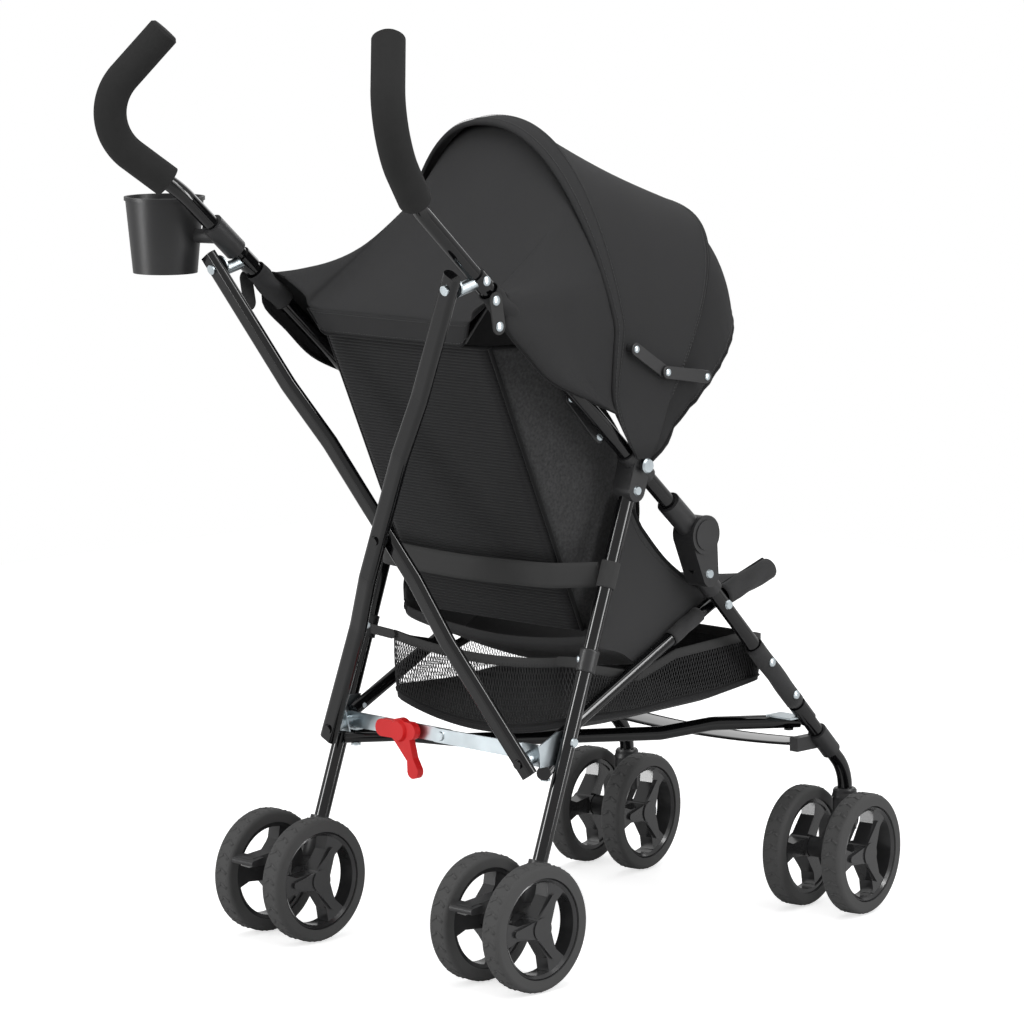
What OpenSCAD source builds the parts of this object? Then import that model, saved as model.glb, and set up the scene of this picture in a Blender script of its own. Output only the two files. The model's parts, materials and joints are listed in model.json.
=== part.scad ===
// Umbrella stroller: two side frames, a rear and a lower cross, double wheels, hood, seat and basket.
// Millimetres. +Z is up, the stroller faces -Y, its left side is +X. The origin is on the floor.

/* [Side frame] */
// Distance between the planes of the two side frames
frame_w = 350; // [330:1:380]
// Knuckle's height above the floor
knuckle_z = 464; // [450:1:480]
// Knuckle's distance ahead of the origin
knuckle_ahead = 134; // [124:1:144]
// Slope of the handle tube above level, degrees
handle_tilt = 41.6; // [40:0.1:43]
// Handle tube's length from the knuckle to its lower bend
handle_len = 587; // [570:1:610]
// How far the handle tube leans outwards over that length
handle_splay = 12; // [6:1:18]
// Slope of the front leg above level, degrees
front_tilt = 46; // [44:0.5:48]
// Front leg's drop below the knuckle at its upper rivet
front_drop = 44; // [42:1:50]
// Front leg's step ahead of the knuckle at that rivet
front_step = 7; // [4:1:10]
// Caster stem's distance ahead of the origin
stem_ahead = 392; // [380:1:404]
// Rear leg's lean from upright, degrees
rear_lean = 19.65; // [18.5:0.05:21]
// Rear leg rivet's drop below the hood pivot
leg_drop = 27.5; // [26:0.5:32]
// Rear leg rivet's step behind the hood pivot
leg_step = 9; // [6:0.5:12]

/* [Tubes] */
// Handle tube's outside diameter
handle_d = 18; // [16:0.5:20]
// Leg tubes' outside diameter
leg_d = 17; // [15:0.5:18]
// Seat tubes' outside diameter
seat_d = 15; // [13:0.5:16]
// Lower cross tubes' outside diameter
lower_d = 16; // [14:0.5:17]
// Width of the flat oval rear cross tubes
cross_w = 22; // [20:0.5:24]
// Thickness of the flat oval rear cross tubes
cross_t = 12; // [10:0.5:13]
// Tube wall
tube_wall = 1.2; // [1:0.1:1.6]
// Centreline radius of the front leg's bend
leg_bend = 52; // [40:1:54]
// Centreline radius of the handle's upper bend
grip_bend = 60; // [50:1:64]

/* [Grips] */
// Outside diameter of the foam grips
grip_d = 36; // [32:0.5:38]
// Rise of the grip's outer bend above the handle tube's lower bend
bend_rise = 81; // [76:1:88]
// Setback of that bend behind the lower bend
bend_back = 94; // [88:1:100]
// How far that bend stands outside the lower bend
bend_out = 51; // [45:1:56]
// Rise of the grip's tip above its bend
tip_rise = 98; // [92:1:105]
// Setback of the tip ahead of its bend
tip_ahead = 63; // [58:1:68]

/* [Wheels] */
// Wheel diameter
wheel_d = 140; // [128:1:146]
// Tyre width
tyre_w = 26; // [22:0.5:28]
// Spacing of the two wheels of a pair
pair_w = 80; // [76:1:86]
// Height of the tyre's section
tyre_h = 14; // [11:0.5:16]
// Axle diameter
axle_d = 8; // [6:0.5:10]
// Trail of the casters
trail = 28; // [22:1:34]
// Angle that the casters are turned by, degrees
caster_turn = 9; // [0:1:12]
// Rear axle's setback behind the foot of the rear leg
axle_back = 30; // [26:1:34]

/* [Hood] */
// Distance up the handle tube from the knuckle to the hood pivot
pivot_run = 133.7; // [128:0.5:140]
// Lean of the middle bow behind upright, degrees
bow_lean = 5; // [2:1:8]
// Height of the middle bow above the pivot
bow_h = 378; // [360:1:390]
// Half width of the middle bow
bow_w = 182; // [178:1:186]
// Lean of the front bow ahead of upright, degrees
front_lean = 36; // [32:1:40]
// Height of the front edge of the main panel
front_h = 340; // [330:1:350]
// Half width of the front edge of the main panel
front_w = 186; // [182:1:190]
// Lean of the visor's lip ahead of upright, degrees
lip_lean = 60; // [56:1:64]
// Height of the visor's lip
lip_h = 318; // [308:1:322]
// Diameter of the bow wires
bow_d = 6; // [5:0.5:7]
// Thickness of the hood's cloth
cloth_t = 1.6; // [1:0.1:2]
// Height of the rear hem above the floor, at its middle
hem_z = 706; // [690:1:720]

/* [Seat and basket] */
// Seat back's top edge above the floor
back_top = 722; // [700:1:735]
// Recline hinge's height above the floor
hinge_z = 362; // [354:1:368]
// Recline hinge's distance behind the origin
hinge_back = 46; // [42:1:50]
// Lean of the seat back from upright, degrees
back_lean = 19.2; // [17:0.1:20]
// Thickness of the seat's cloth
seat_t = 3; // [2:0.5:3.5]
// Basket rim's height at the rear
rim_z = 343; // [335:1:348]
// Basket floor's height
basket_z = 250; // [248:1:258]
// Thickness of the basket's walls
basket_t = 3; // [2:0.5:4]

/* [Cup holder] */
// Cup's outside diameter at the rim
cup_d = 88; // [80:1:92]
// Cup's outside diameter at its foot
cup_foot_d = 72; // [66:1:76]
// Cup's height
cup_h = 85; // [75:1:95]
// Cup's wall
cup_wall = 2; // [1.5:0.1:3]

/* [Hidden] */
$fn = 48;

// Clearances: a running fit, a seat that doesn't move, and soft or sliding neighbours
run_fit = 0.05;
seat_fit = 0.03;
clear = 0.4;
// Share of an end's radius at which a link's straight sides meet it
link_side = 0.995;
// How much larger a bend's section is than its runs', and how far the runs reach into it
swell = 0.05;
run_in = 1;

// Colours
paint = [0.03, 0.03, 0.035];
plastic = [0.10, 0.10, 0.10];
foam = [0.07, 0.07, 0.07];
zinc = [0.72, 0.77, 0.79];
red = [0.90, 0.15, 0.15];
cloth = [0.16, 0.16, 0.16];
net = [0.08, 0.08, 0.08];
rubber = [0.13, 0.13, 0.13];

// Side frame's places in the plane of the side, as [y, z]
side_x = frame_w / 2;
axle_z = wheel_d / 2;
knuckle = [-knuckle_ahead, knuckle_z];
handle_dir = [cos(handle_tilt), sin(handle_tilt)];
handle_off = [sin(handle_tilt), -cos(handle_tilt)];
function handle_yz(run) = knuckle + handle_dir * run;
function handle_x(run) = side_x + handle_splay * run / handle_len;
function handle_at(run) = [handle_x(run), handle_yz(run)[0], handle_yz(run)[1]];
handle_axis = unit(handle_at(1) - handle_at(0));
pivot = handle_yz(pivot_run);
leg_top = pivot + [leg_step, -leg_drop];
rear_dir = [-sin(rear_lean), cos(rear_lean)];
function rear_y(z) = leg_top[0] + (leg_top[1] - z) * tan(rear_lean);
foot_z = axle_z + 5;
rear_axle = [rear_y(foot_z) + axle_back, axle_z];
front_top = knuckle + [-front_step, -front_drop];
front_dir = [cos(front_tilt), sin(front_tilt)];
function front_y(z) = front_top[0] - (front_top[1] - z) / tan(front_tilt);
function front_z(y) = front_top[1] - (front_top[0] - y) * tan(front_tilt);
stem_y = -stem_ahead;
handle_r = handle_d / 2;
leg_r = leg_d / 2;
seat_r = seat_d / 2;
lower_r = lower_d / 2;
leg_in = side_x - leg_r;

// Grip's path
bend_a = handle_at(handle_len);
bend_b = bend_a + [bend_out, bend_back, bend_rise];
tip = bend_b + [-tip_ahead, -tip_ahead, tip_rise];
handle_bend = 60;
grip_start = 20;
cap_t = 6;
grip_low = along(bend_a, bend_b, grip_start);

// Rear cross: pivots, the plane's own directions and the joggle that lets the tubes pass
cross_run = 495.5;
cross_below = 33.5;
cross_low_z = 237;
cross_behind = 43;
cross_inset = 23;
cross_top_yz = handle_yz(cross_run) + handle_off * cross_below;
cross_top = [side_x + 9, cross_top_yz[0], cross_top_yz[1]];
cross_low = [side_x - cross_inset, rear_y(cross_low_z) + cross_behind, cross_low_z];
cross_up = unit([0, cross_top[1] - cross_low[1], cross_top[2] - cross_low[2]]);
cross_rear = [0, cross_up[2], -cross_up[1]];
joggle = cross_t / 2 + 1;
cross_over = 14;
cross_bend = 90;
pin_r = 3;
head_r = 5.5;
head_t = 2.2;
plug_t = 3;
washer_t = 1.6;
washer_r = 8;

// Lower cross: pivots beside the legs
lower_z = 222;
lower_gap = 7;
lower_in = leg_in - lower_gap - lower_r;
lower_rear = [lower_in, rear_y(lower_z), lower_z];
lower_front = [lower_in - 6, front_y(lower_z) + 6, lower_z];
lower_joggle = lower_r + 1.2;
lower_over = 10;
lower_bend = 60;
lower_seam = 30;

// Seat tube beside the legs
seat_x = leg_in - 2 - seat_r;
seat_pivot_y = -180;
seat_pivot = [seat_x, seat_pivot_y, front_z(seat_pivot_y)];
seat_rear_z = 256;
seat_rear = [seat_x, rear_y(seat_rear_z), seat_rear_z];
seat_tip = seat_pivot + [0, -96, 28];
seat_over = 9;
seat_bend = 120;

// Rear bracket: a plate on the leg, an ear that carries the cross tube, a shelf over the lower tube
plate_t = 1.6;
plate_x = leg_in - plate_t - 0.2;
ear_t = 2;
spacer_len = 9;
ear_face = cross_t / 2 + clear + spacer_len;
shelf_z = lower_z + lower_r + 0.5;
lock_z = 243;
lock_x = side_x - 25;
lock_h = 18;
lock_t = 3;
lock_gap = 0.4;
lock_y = rear_y(lock_z) + 20;
lock_pin_r = 4;

// Hood: bows are arches that start at the pivot
visor_tuck = 12;
visor_h = front_h - visor_tuck;
visor_w = front_w - 9;
lip_w = visor_w + 3;
mid_round = 0.9;
front_round = 0.72;
lip_round = 0.85;
pivot_r = 4;
arm_t = 2.6;
arm_len = 58;
bracket_half = 13;
sleeve_wall = 2.5;
arm_in = handle_x(pivot_run) + handle_r + sleeve_wall + clear;
arm_out = arm_in + arm_t + clear;
wire_low = 40;
wire_in = 70;
wire_step = 9.5;
band_deg = 3.5;
hem_drop = 24;
hem_y = pivot[0] + 222;
hem_w = handle_x((hem_y - knuckle[0]) / handle_dir[0]) - handle_r - clear;
hem_lift = 30;
hood_columns = 20;
cloth_start = 10;

// Stays: rear rivet on the middle bow, knee, front rivet on the front bow, from the pivot
stay_a = pivot + [7, 128.5];
stay_knee = pivot + [-40, 99.5];
stay_b = pivot + [-104, 89.5];
stay_x = bow_w + clear;
stay_t = 3.6;
stay_r = 7;
boss_r = 5;

// Seat
sling_half = seat_x - seat_r - clear;
sling_sag = 14;
back_gap = 37;
back_taper = 10;
back_half_low = side_x - back_gap;
back_half_top = back_half_low - back_taper;
wing_depth = 98;
back_dir = [sin(back_lean), cos(back_lean)];
function back_y(z) = hinge_back + (z - hinge_z) * tan(back_lean);
strap_w = 28;
strap_t = 2;
strap_z = 434;

// Basket
basket_half = sling_half;
basket_rear = rear_y(rim_z) - 2;
basket_front = -276;

// Cup
cup_below = 79;
cup_run = handle_len - cup_below;
cup_gap = 12;
clamp_r = handle_r + 4;
clamp_len = 46;
cup_x = handle_x(cup_run) + clamp_r + cup_gap + cup_d / 2;
cup_y = handle_yz(cup_run)[0] + 26;
cup_z = handle_yz(cup_run)[1] - 42;

// Foot strap
foot_strap_z = 199;
foot_strap_w = 44;
foot_strap_t = 2;
foot_leg_y = front_y(foot_strap_z);

// Wheels
wheel_r = wheel_d / 2;
rim_r = wheel_r - tyre_h;
hub_half = tyre_w / 2 + 0.5;
hub_in = pair_w / 2 - hub_half - 0.5;
hub_r = 13;
axle_r = axle_d / 2;
axle_half = pair_w / 2 + hub_half - 5;
spokes = 3;

function unit(v) = v / norm(v);
function along(a, b, d) = a + unit(b - a) * d;
function lift(x, p) = [x, p[0], p[1]];
function any_across(u) = unit(cross(abs(u[2]) < 0.9 ? [0, 0, 1] : [1, 0, 0], u));
function run_dir(p, i) = unit(p[i + 1] - p[i]);
function turn(p, i) = acos(min(1, run_dir(p, i - 1) * run_dir(p, i)));
function cut(p, r, i) = (i == 0 || i == len(p) - 1) ? 0 : r * tan(turn(p, i) / 2);

// Puts its children at a place, with their Z along u and their Y along b
module frame_at(at, u, b) {
    a = cross(b, u);
    multmatrix([
        [a[0], b[0], u[0], at[0]],
        [a[1], b[1], u[1], at[1]],
        [a[2], b[2], u[2], at[2]],
        [0, 0, 0, 1]
    ]) children();
}

// A round bar between two points
module bar(a, b, r) {
    frame_at(a, unit(b - a), any_across(unit(b - a))) cylinder(h = norm(b - a), r = r);
}

// Sweeps a section along straight runs joined by true bends of one radius. The first child is the
// runs' section, the second the bends', a hair larger all round so that the runs' ends lie inside it.
module bent(p, radius, axis = undef) {
    b = is_undef(axis) ? unit(cross(run_dir(p, 0), run_dir(p, 1))) : axis;
    for (i = [0 : len(p) - 2]) {
        u = run_dir(p, i);
        from = p[i] + u * (i == 0 ? 0 : cut(p, radius, i) - run_in);
        to = p[i + 1] - u * (i == len(p) - 2 ? 0 : cut(p, radius, i + 1) - run_in);
        frame_at(from, u, b) linear_extrude(norm(to - from)) children(0);
    }
    for (i = [1 : len(p) - 2]) {
        u = run_dir(p, i - 1);
        v = run_dir(p, i);
        w = unit(v - u * (u * v));
        centre = p[i] - u * cut(p, radius, i) + w * radius;
        z = cross(u, w);
        multmatrix([
            [-w[0], u[0], z[0], centre[0]],
            [-w[1], u[1], z[1], centre[1]],
            [-w[2], u[2], z[2], centre[2]],
            [0, 0, 0, 1]
        ]) rotate_extrude(angle = turn(p, i)) translate([radius, 0]) children(1);
    }
}

// A bent round tube; seam turns the runs' section, so that its seam needn't lie in the plane of the bends
module tube(p, radius, r, wall, seam = 0) {
    bent(p, radius) {
        rotate(seam) ring(r, wall);
        ring(r + swell, wall + 2 * swell);
    }
}

module ring(r, wall) {
    difference() {
        circle(r = r);
        circle(r = r - wall);
    }
}

// A flat oval, w wide along Y and t thick along X
module oval(w, t) {
    square([t, w - t], center = true);
    for (s = [-1, 1]) translate([0, s * (w - t) / 2]) circle(r = t / 2);
}

// The rear cross tubes' section, grown by a hair on both faces of its wall
module oval_ring(grow) {
    difference() {
        oval(cross_w + 2 * grow, cross_t + 2 * grow);
        oval(cross_w - 2 * tube_wall - 2 * grow, cross_t - 2 * tube_wall - 2 * grow);
    }
}

// A flat link: two round ends and straight sides that lie a hair inside the tangents of both
module link(a, ra, b, rb) {
    d = b - a;
    heading = atan2(d[1], d[0]);
    swing = acos((ra - rb) / norm(d));
    up = [cos(heading + swing), sin(heading + swing)] * link_side;
    down = [cos(heading - swing), sin(heading - swing)] * link_side;
    translate(a) circle(r = ra);
    translate(b) circle(r = rb);
    polygon([a + ra * down, b + rb * down, b + rb * up, a + ra * up]);
}

// Extrudes an outline drawn as [y, z] along X from x
module plate(x, t) {
    multmatrix([[0, 0, 1, x], [1, 0, 0, 0], [0, 1, 0, 0], [0, 0, 0, 1]])
        linear_extrude(t) children();
}

module on_side(side) {
    mirror([side < 0 ? 1 : 0, 0, 0]) children();
}

// A rivet along X with a domed head outside
module rivet_x(yz, x0, x1, r) {
    translate([x0, yz[0], yz[1]]) rotate([0, 90, 0]) cylinder(h = x1 - x0 + head_t / 2, r = r);
    translate([x1, yz[0], yz[1]]) rotate([0, 90, 0]) cylinder(h = head_t, r1 = head_r, r2 = head_r - 1);
}

module hole_x(yz, x0, x1, r) {
    translate([x0, yz[0], yz[1]]) rotate([0, 90, 0]) cylinder(h = x1 - x0, r = r);
}

// A closed sheet between two grids of points with equal rows and columns
module sheet(top, under) {
    rows = len(top);
    cols = len(top[0]);
    m = rows * cols;
    points = concat([for (row = top) each row], [for (row = under) each row]);
    upper = [
        for (i = [0 : rows - 2], j = [0 : cols - 2])
            each [
                [i * cols + j, i * cols + j + 1, (i + 1) * cols + j],
                [i * cols + j + 1, (i + 1) * cols + j + 1, (i + 1) * cols + j]
            ]
    ];
    lower = [for (f = upper) [f[2] + m, f[1] + m, f[0] + m]];
    first = [for (j = [0 : cols - 2]) each wall(j + 1, j, m)];
    last = [for (j = [0 : cols - 2]) each wall((rows - 1) * cols + j, (rows - 1) * cols + j + 1, m)];
    left = [for (i = [0 : rows - 2]) each wall(i * cols, (i + 1) * cols, m)];
    right = [for (i = [0 : rows - 2]) each wall((i + 2) * cols - 1, (i + 1) * cols - 1, m)];
    polyhedron(points, concat(upper, lower, first, last, left, right));
}
function wall(a, b, m) = [[a, b, b + m], [a, b + m, a + m]];

// A round wire along points, with flat ends
module wire(p, r, sides = 8) {
    n = len(p);
    tangent = [for (i = [0 : n - 1]) unit(p[min(i + 1, n - 1)] - p[max(i - 1, 0)])];
    normal = unit(cross(tangent[0], tangent[floor(n / 2)]));
    points = [
        for (i = [0 : n - 1], k = [0 : sides - 1])
            p[i] + r * (normal * cos(360 * k / sides) + cross(tangent[i], normal) * sin(360 * k / sides))
    ];
    skin = [
        for (i = [0 : n - 2], k = [0 : sides - 1])
            each [
                [i * sides + k, (i + 1) * sides + k, i * sides + (k + 1) % sides],
                [i * sides + (k + 1) % sides, (i + 1) * sides + k, (i + 1) * sides + (k + 1) % sides]
            ]
    ];
    start = [for (k = [1 : sides - 2]) [0, k, k + 1]];
    end = [for (k = [1 : sides - 2]) [(n - 1) * sides, (n - 1) * sides + k + 1, (n - 1) * sides + k]];
    polyhedron(points, concat(skin, start, end));
}

// Side frame

grip_end = along(tip, bend_b, cap_t);
tube_joint = along(grip_low, bend_b, 15);

// The tube is joined in the grip, where its two bends lie in different planes
module handle_tube() {
    color(paint) difference() {
        tube([handle_at(0), bend_a, tube_joint], handle_bend, handle_r, tube_wall);
        bar(handle_at(pivot_run) - [40, 0, 0], handle_at(pivot_run) + [40, 0, 0], pivot_r + seat_fit);
    }
    upper = [along(tube_joint, bend_b, seat_fit), bend_b, grip_end];
    color(paint) tube(upper, grip_bend, handle_r, tube_wall);
}

module grip() {
    color(foam) tube([grip_low, bend_b, grip_end], grip_bend, grip_d / 2,
        grip_d / 2 - handle_r - 2 * swell - seat_fit);
    out = unit(tip - bend_b);
    color(plastic) frame_at(along(grip_end, tip, seat_fit), out, any_across(out)) {
        cylinder(h = cap_t / 2, r = grip_d / 2);
        translate([0, 0, cap_t / 2]) cylinder(h = cap_t / 2, r1 = grip_d / 2, r2 = grip_d / 2 - cap_t / 2);
    }
}

front_upper = front_top + front_dir * 12;
stem_foot = axle_z + 31;

module front_leg() {
    path = [
        lift(side_x, front_upper),
        [side_x, stem_y, front_z(stem_y)],
        [side_x, stem_y, stem_foot]
    ];
    color(paint) difference() {
        tube(path, leg_bend, leg_r, tube_wall);
        hole_x(front_top, side_x - 30, side_x + 30, pin_r + seat_fit);
        hole_x([seat_pivot[1], seat_pivot[2]], side_x - 30, side_x + 30, pin_r + seat_fit);
    }
}

module rear_leg() {
    foot = [rear_y(foot_z), foot_z];
    color(paint) difference() {
        bar(lift(side_x, leg_top + rear_dir * 9), lift(side_x, foot), leg_r);
        bar(lift(side_x, leg_top + rear_dir * 10), lift(side_x, foot - rear_dir), leg_r - tube_wall);
        hole_x(leg_top, side_x - 30, side_x + 30, pin_r + seat_fit);
        hole_x([seat_rear[1], seat_rear[2]], side_x - 30, side_x + 30, pin_r + seat_fit);
    }
}

module seat_tube() {
    start = along(seat_rear, seat_pivot, -seat_over);
    color(paint) difference() {
        tube([start, seat_pivot, seat_tip], seat_bend, seat_r, tube_wall);
        hole_x([seat_pivot[1], seat_pivot[2]], seat_x - 20, seat_x + 20, pin_r + seat_fit);
        hole_x([seat_rear[1], seat_rear[2]], seat_x - 20, seat_x + 20, pin_r + seat_fit);
    }
    color(plastic) for (end = [start, seat_tip])
        bar(along(end, seat_pivot, -seat_fit), along(end, seat_pivot, -plug_t), seat_r);
}

// Knuckle, rear leg bracket and foot strap bracket, all moulded
module mouldings() {
    disc = handle_yz(2);
    disc_r = 22;
    socket_r = handle_r + 4.5;
    color(plastic) difference() {
        union() {
            bar(handle_at(-6), handle_at(62), socket_r);
            plate(side_x - 14, 29) link(disc, disc_r - 1, front_top - front_dir * 4, 12.5);
            plate(side_x + 15, 3) translate(disc) circle(r = disc_r);
            plate(side_x + 18, 1.4) translate(disc) circle(r = disc_r - 5);
            bar(lift(side_x, front_top), lift(side_x, front_top - front_dir * 30), leg_r + 3.5);
        }
        bar(handle_at(0), handle_at(80), handle_r + seat_fit);
        bar(lift(side_x, front_upper), lift(side_x, front_top - front_dir * 60), leg_r + seat_fit);
        hole_x(front_top, side_x - 30, side_x + 30, pin_r + seat_fit);
    }
    color(plastic) difference() {
        union() {
            plate(side_x - bracket_half, 2 * bracket_half) link(pivot, 13.5, leg_top, 12.5);
            bar(handle_at(pivot_run - 22), handle_at(pivot_run + 22), handle_r + sleeve_wall);
        }
        bar(handle_at(pivot_run - 40), handle_at(pivot_run + 40), handle_r + seat_fit);
        bar(lift(side_x, leg_top + rear_dir * 9.5), lift(side_x, leg_top - rear_dir * 40), leg_r + seat_fit);
        hole_x(pivot, side_x - 30, side_x + 60, pivot_r + seat_fit);
        hole_x(leg_top, side_x - 30, side_x + 30, pin_r + seat_fit);
    }
    color(plastic) difference() {
        union() {
            bar(lift(side_x, [front_y(foot_strap_z + 13), foot_strap_z + 13]),
                lift(side_x, [front_y(foot_strap_z - 13), foot_strap_z - 13]), leg_r + 3);
            translate([side_x - 14, foot_leg_y, foot_strap_z - 8]) cube([12, foot_strap_w, 16]);
        }
        bar(lift(side_x, [front_y(foot_strap_z + 40), foot_strap_z + 40]),
            lift(side_x, [front_y(foot_strap_z - 40), foot_strap_z - 40]), leg_r + seat_fit);
    }
}

// Plated brackets and rivets
module fittings() {
    clamp_run = cross_run - 29.5;
    clamp_at = handle_at(clamp_run);
    ear_at = cross_top - cross_rear * (cross_t / 2 + clear + ear_t);
    arm_reach = (ear_at - clamp_at) * cross_rear + ear_t;
    color(zinc) difference() {
        union() {
            bar(handle_at(clamp_run - 10), handle_at(clamp_run + 10), handle_r + 2);
            bar(clamp_at, clamp_at + cross_rear * arm_reach, 7);
            bar(ear_at, ear_at + cross_rear * ear_t, 12);
            bar(ear_at, cross_top + cross_rear * (cross_t / 2 + clear), pin_r);
            bar(cross_top + cross_rear * (cross_t / 2 + clear),
                cross_top + cross_rear * (cross_t / 2 + clear + head_t), head_r);
        }
        bar(handle_at(clamp_run - 40), handle_at(clamp_run + 40), handle_r + seat_fit);
    }
    rear_bracket();
    front_bracket();
    color(zinc) {
        rivet_x(front_top, side_x - 14, side_x + 15, pin_r);
        rivet_x([seat_pivot[1], seat_pivot[2]], seat_x - seat_r, side_x + leg_r, pin_r);
        rivet_x(leg_top, side_x - bracket_half, side_x + bracket_half, pin_r);
        rivet_x([seat_rear[1], seat_rear[2]], seat_x - seat_r, side_x + leg_r, pin_r);
        hole_x(pivot, side_x - bracket_half, arm_out + arm_t + clear, pivot_r);
        translate([arm_out + arm_t + clear, pivot[0], pivot[1]]) rotate([0, 90, 0])
            cylinder(h = head_t, r1 = head_r + 3, r2 = head_r + 1.5);
    }
}

module rear_bracket() {
    ear_mid = cross_low - cross_rear * (ear_face + ear_t);
    shelf_y = lower_rear[1];
    color(zinc) difference() {
        union() {
            plate(plate_x, plate_t) polygon([
                [seat_rear[1] - 9, seat_rear[2] + 11],
                [seat_rear[1] + 9, seat_rear[2] + 11],
                [ear_mid[1] + 3, lock_z + 12],
                [ear_mid[1] + 3, shelf_z],
                [shelf_y - 10, shelf_z]
            ]);
            translate([lower_in - 9, shelf_y - 10, shelf_z])
                cube([plate_x - lower_in + 9 + plate_t, lock_y - shelf_y + 5, ear_t]);
            intersection() {
                frame_at(ear_mid, cross_rear, [1, 0, 0]) translate([-20, -14, 0]) cube([40, 60, ear_t]);
                translate([lock_x - 9, 0, shelf_z]) cube([plate_x + plate_t - lock_x + 9, 300, 26]);
            }
            bar([lock_x, lock_y - 2 * lock_t - lock_gap - 3, lock_z],
                [lock_x, ear_mid[1] + 1, lock_z], lock_pin_r);
            bar(lower_rear + [0, 0, lower_r + 1], lower_rear - [0, 0, lower_r + clear], pin_r);
            bar(lower_rear - [0, 0, lower_r + clear], lower_rear - [0, 0, lower_r + clear + head_t], head_r);
        }
        hole_x([seat_rear[1], seat_rear[2]], side_x - 60, side_x + 30, pin_r + seat_fit);
    }
    color(plastic) bar(cross_low - cross_rear * ear_face, cross_low - cross_rear * (cross_t / 2 + clear), 8);
}

// Bracket over the front end of a lower cross tube
module front_bracket() {
    tab_z = lower_z + lower_r + clear;
    leg_y = front_y(tab_z + 6);
    color(zinc) difference() {
        union() {
            bar(lift(side_x, [front_y(tab_z + 18), tab_z + 18]),
                lift(side_x, [front_y(tab_z - 2), tab_z - 2]), leg_r + 1.8);
            translate([lower_front[0] - 9, leg_y - 4, tab_z]) cube([side_x - lower_front[0] + 9, 26, ear_t]);
        }
        bar(lift(side_x, [front_y(tab_z + 60), tab_z + 60]),
            lift(side_x, [front_y(tab_z - 60), tab_z - 60]), leg_r + seat_fit);
    }
}

// Wheels and what carries them

module rear_housing() {
    foot = [rear_y(foot_z), foot_z];
    pin = rear_axle + [2, 28];
    color(plastic) difference() {
        union() {
            bar(lift(side_x, foot - rear_dir * 3), lift(side_x, foot + rear_dir * 58), leg_r + 4);
            plate(side_x - 13, 26) link(foot, 14, rear_axle, 14);
            plate(side_x - hub_in, 2 * hub_in) translate(rear_axle) circle(r = hub_r);
            for (x = [-15, 10.5]) plate(side_x + x, 4.5) link(rear_axle, hub_r, pin, 7);
            hole_x(pin, side_x - 12, side_x + 12, 4);
        }
        bar(lift(side_x, foot), lift(side_x, foot + rear_dir * 90), leg_r + seat_fit);
        hole_x(rear_axle, side_x - 60, side_x + 60, axle_r + seat_fit);
        plate(side_x - 10.5, 21) translate(pin) difference() {
            circle(r = 10);
            circle(r = 4);
        }
    }
}

module rear_axle_rod() {
    color(zinc) hole_x(rear_axle, side_x - axle_half, side_x + axle_half, axle_r);
}

module brake_pedal() {
    pin = rear_axle + [2, 28];
    toe = pin + [62, -2];
    color(plastic) difference() {
        union() {
            plate(side_x - 10, 20) link(pin, 8, toe, 4);
            plate(side_x - 17, 34) link(toe - [8, 0], 4.5, toe + [6, -1], 3.5);
        }
        hole_x(pin, side_x - 30, side_x + 30, 4 + run_fit);
    }
}

// Caster parts in their own place: the stem is at the origin and the wheels trail behind it
module caster(side) {
    translate([side * side_x, stem_y, 0]) rotate(caster_turn) children();
}

module caster_fork() {
    hub = [trail, axle_z];
    color(plastic) difference() {
        union() {
            translate([0, 0, axle_z + 20]) cylinder(h = 46, r = leg_r + 5.5);
            translate([0, 0, axle_z + 58]) cylinder(h = 10, r1 = leg_r + 7, r2 = leg_r + 4);
            plate(-11, 22) link([0, axle_z + 32], leg_r + 5, hub, hub_r);
            plate(-hub_in, 2 * hub_in) translate(hub) circle(r = hub_r - 1);
        }
        translate([0, 0, stem_foot - clear]) cylinder(h = 80, r = leg_r + run_fit);
        hole_x(hub, -60, 60, axle_r + seat_fit);
    }
}

module front_axle_rod() {
    color(zinc) hole_x([trail, axle_z], -axle_half, axle_half, axle_r);
}

// A wheel's place: yz of its axle, x of its middle, and which way its face looks
module wheel_at(yz, x, face) {
    translate([x, yz[0], yz[1]]) rotate([0, face * 90, 0]) children();
}

module rim() {
    ring_t = 5;
    web = tyre_w - 8;
    color(plastic) difference() {
        union() {
            rotate_extrude() polygon([
                [rim_r, -tyre_w / 2 + 2],
                [rim_r, tyre_w / 2 - 2],
                [rim_r - 2, tyre_w / 2 - 1],
                [rim_r - ring_t, tyre_w / 2 - 4],
                [rim_r - ring_t, -tyre_w / 2 + 2]
            ]);
            translate([0, 0, -hub_half]) cylinder(h = 2 * hub_half, r = hub_r);
            for (k = [0 : spokes - 1]) rotate(90 + 360 * k / spokes) {
                translate([0, 0, -web / 2]) linear_extrude(web) polygon([
                    [0, -11],
                    [rim_r * 0.62, -8],
                    [rim_r - ring_t / 2, -15],
                    [rim_r - ring_t / 2, 15],
                    [rim_r * 0.62, 8],
                    [0, 11]
                ]);
                translate([0, 0, web / 2]) linear_extrude(3) link([0, 0], 12, [rim_r * 0.66, 0], 4);
            }
        }
        translate([0, 0, -hub_half - 1]) cylinder(h = 2 * hub_half - 3.5, r = axle_r + run_fit);
    }
}

module tyre() {
    corner = 5;
    color(rubber) rotate_extrude() {
        translate([rim_r + seat_fit, -tyre_w / 2]) square([tyre_h - seat_fit - corner, tyre_w]);
        translate([rim_r + seat_fit, -tyre_w / 2 + corner]) square([tyre_h - seat_fit, tyre_w - 2 * corner]);
        for (s = [-1, 1]) translate([wheel_r - corner, s * (tyre_w / 2 - corner)]) circle(r = corner);
    }
}

module rear_wheel(side, outer) {
    face = side * outer;
    wheel_at(rear_axle, side * side_x + face * pair_w / 2, face) children();
}

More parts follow.
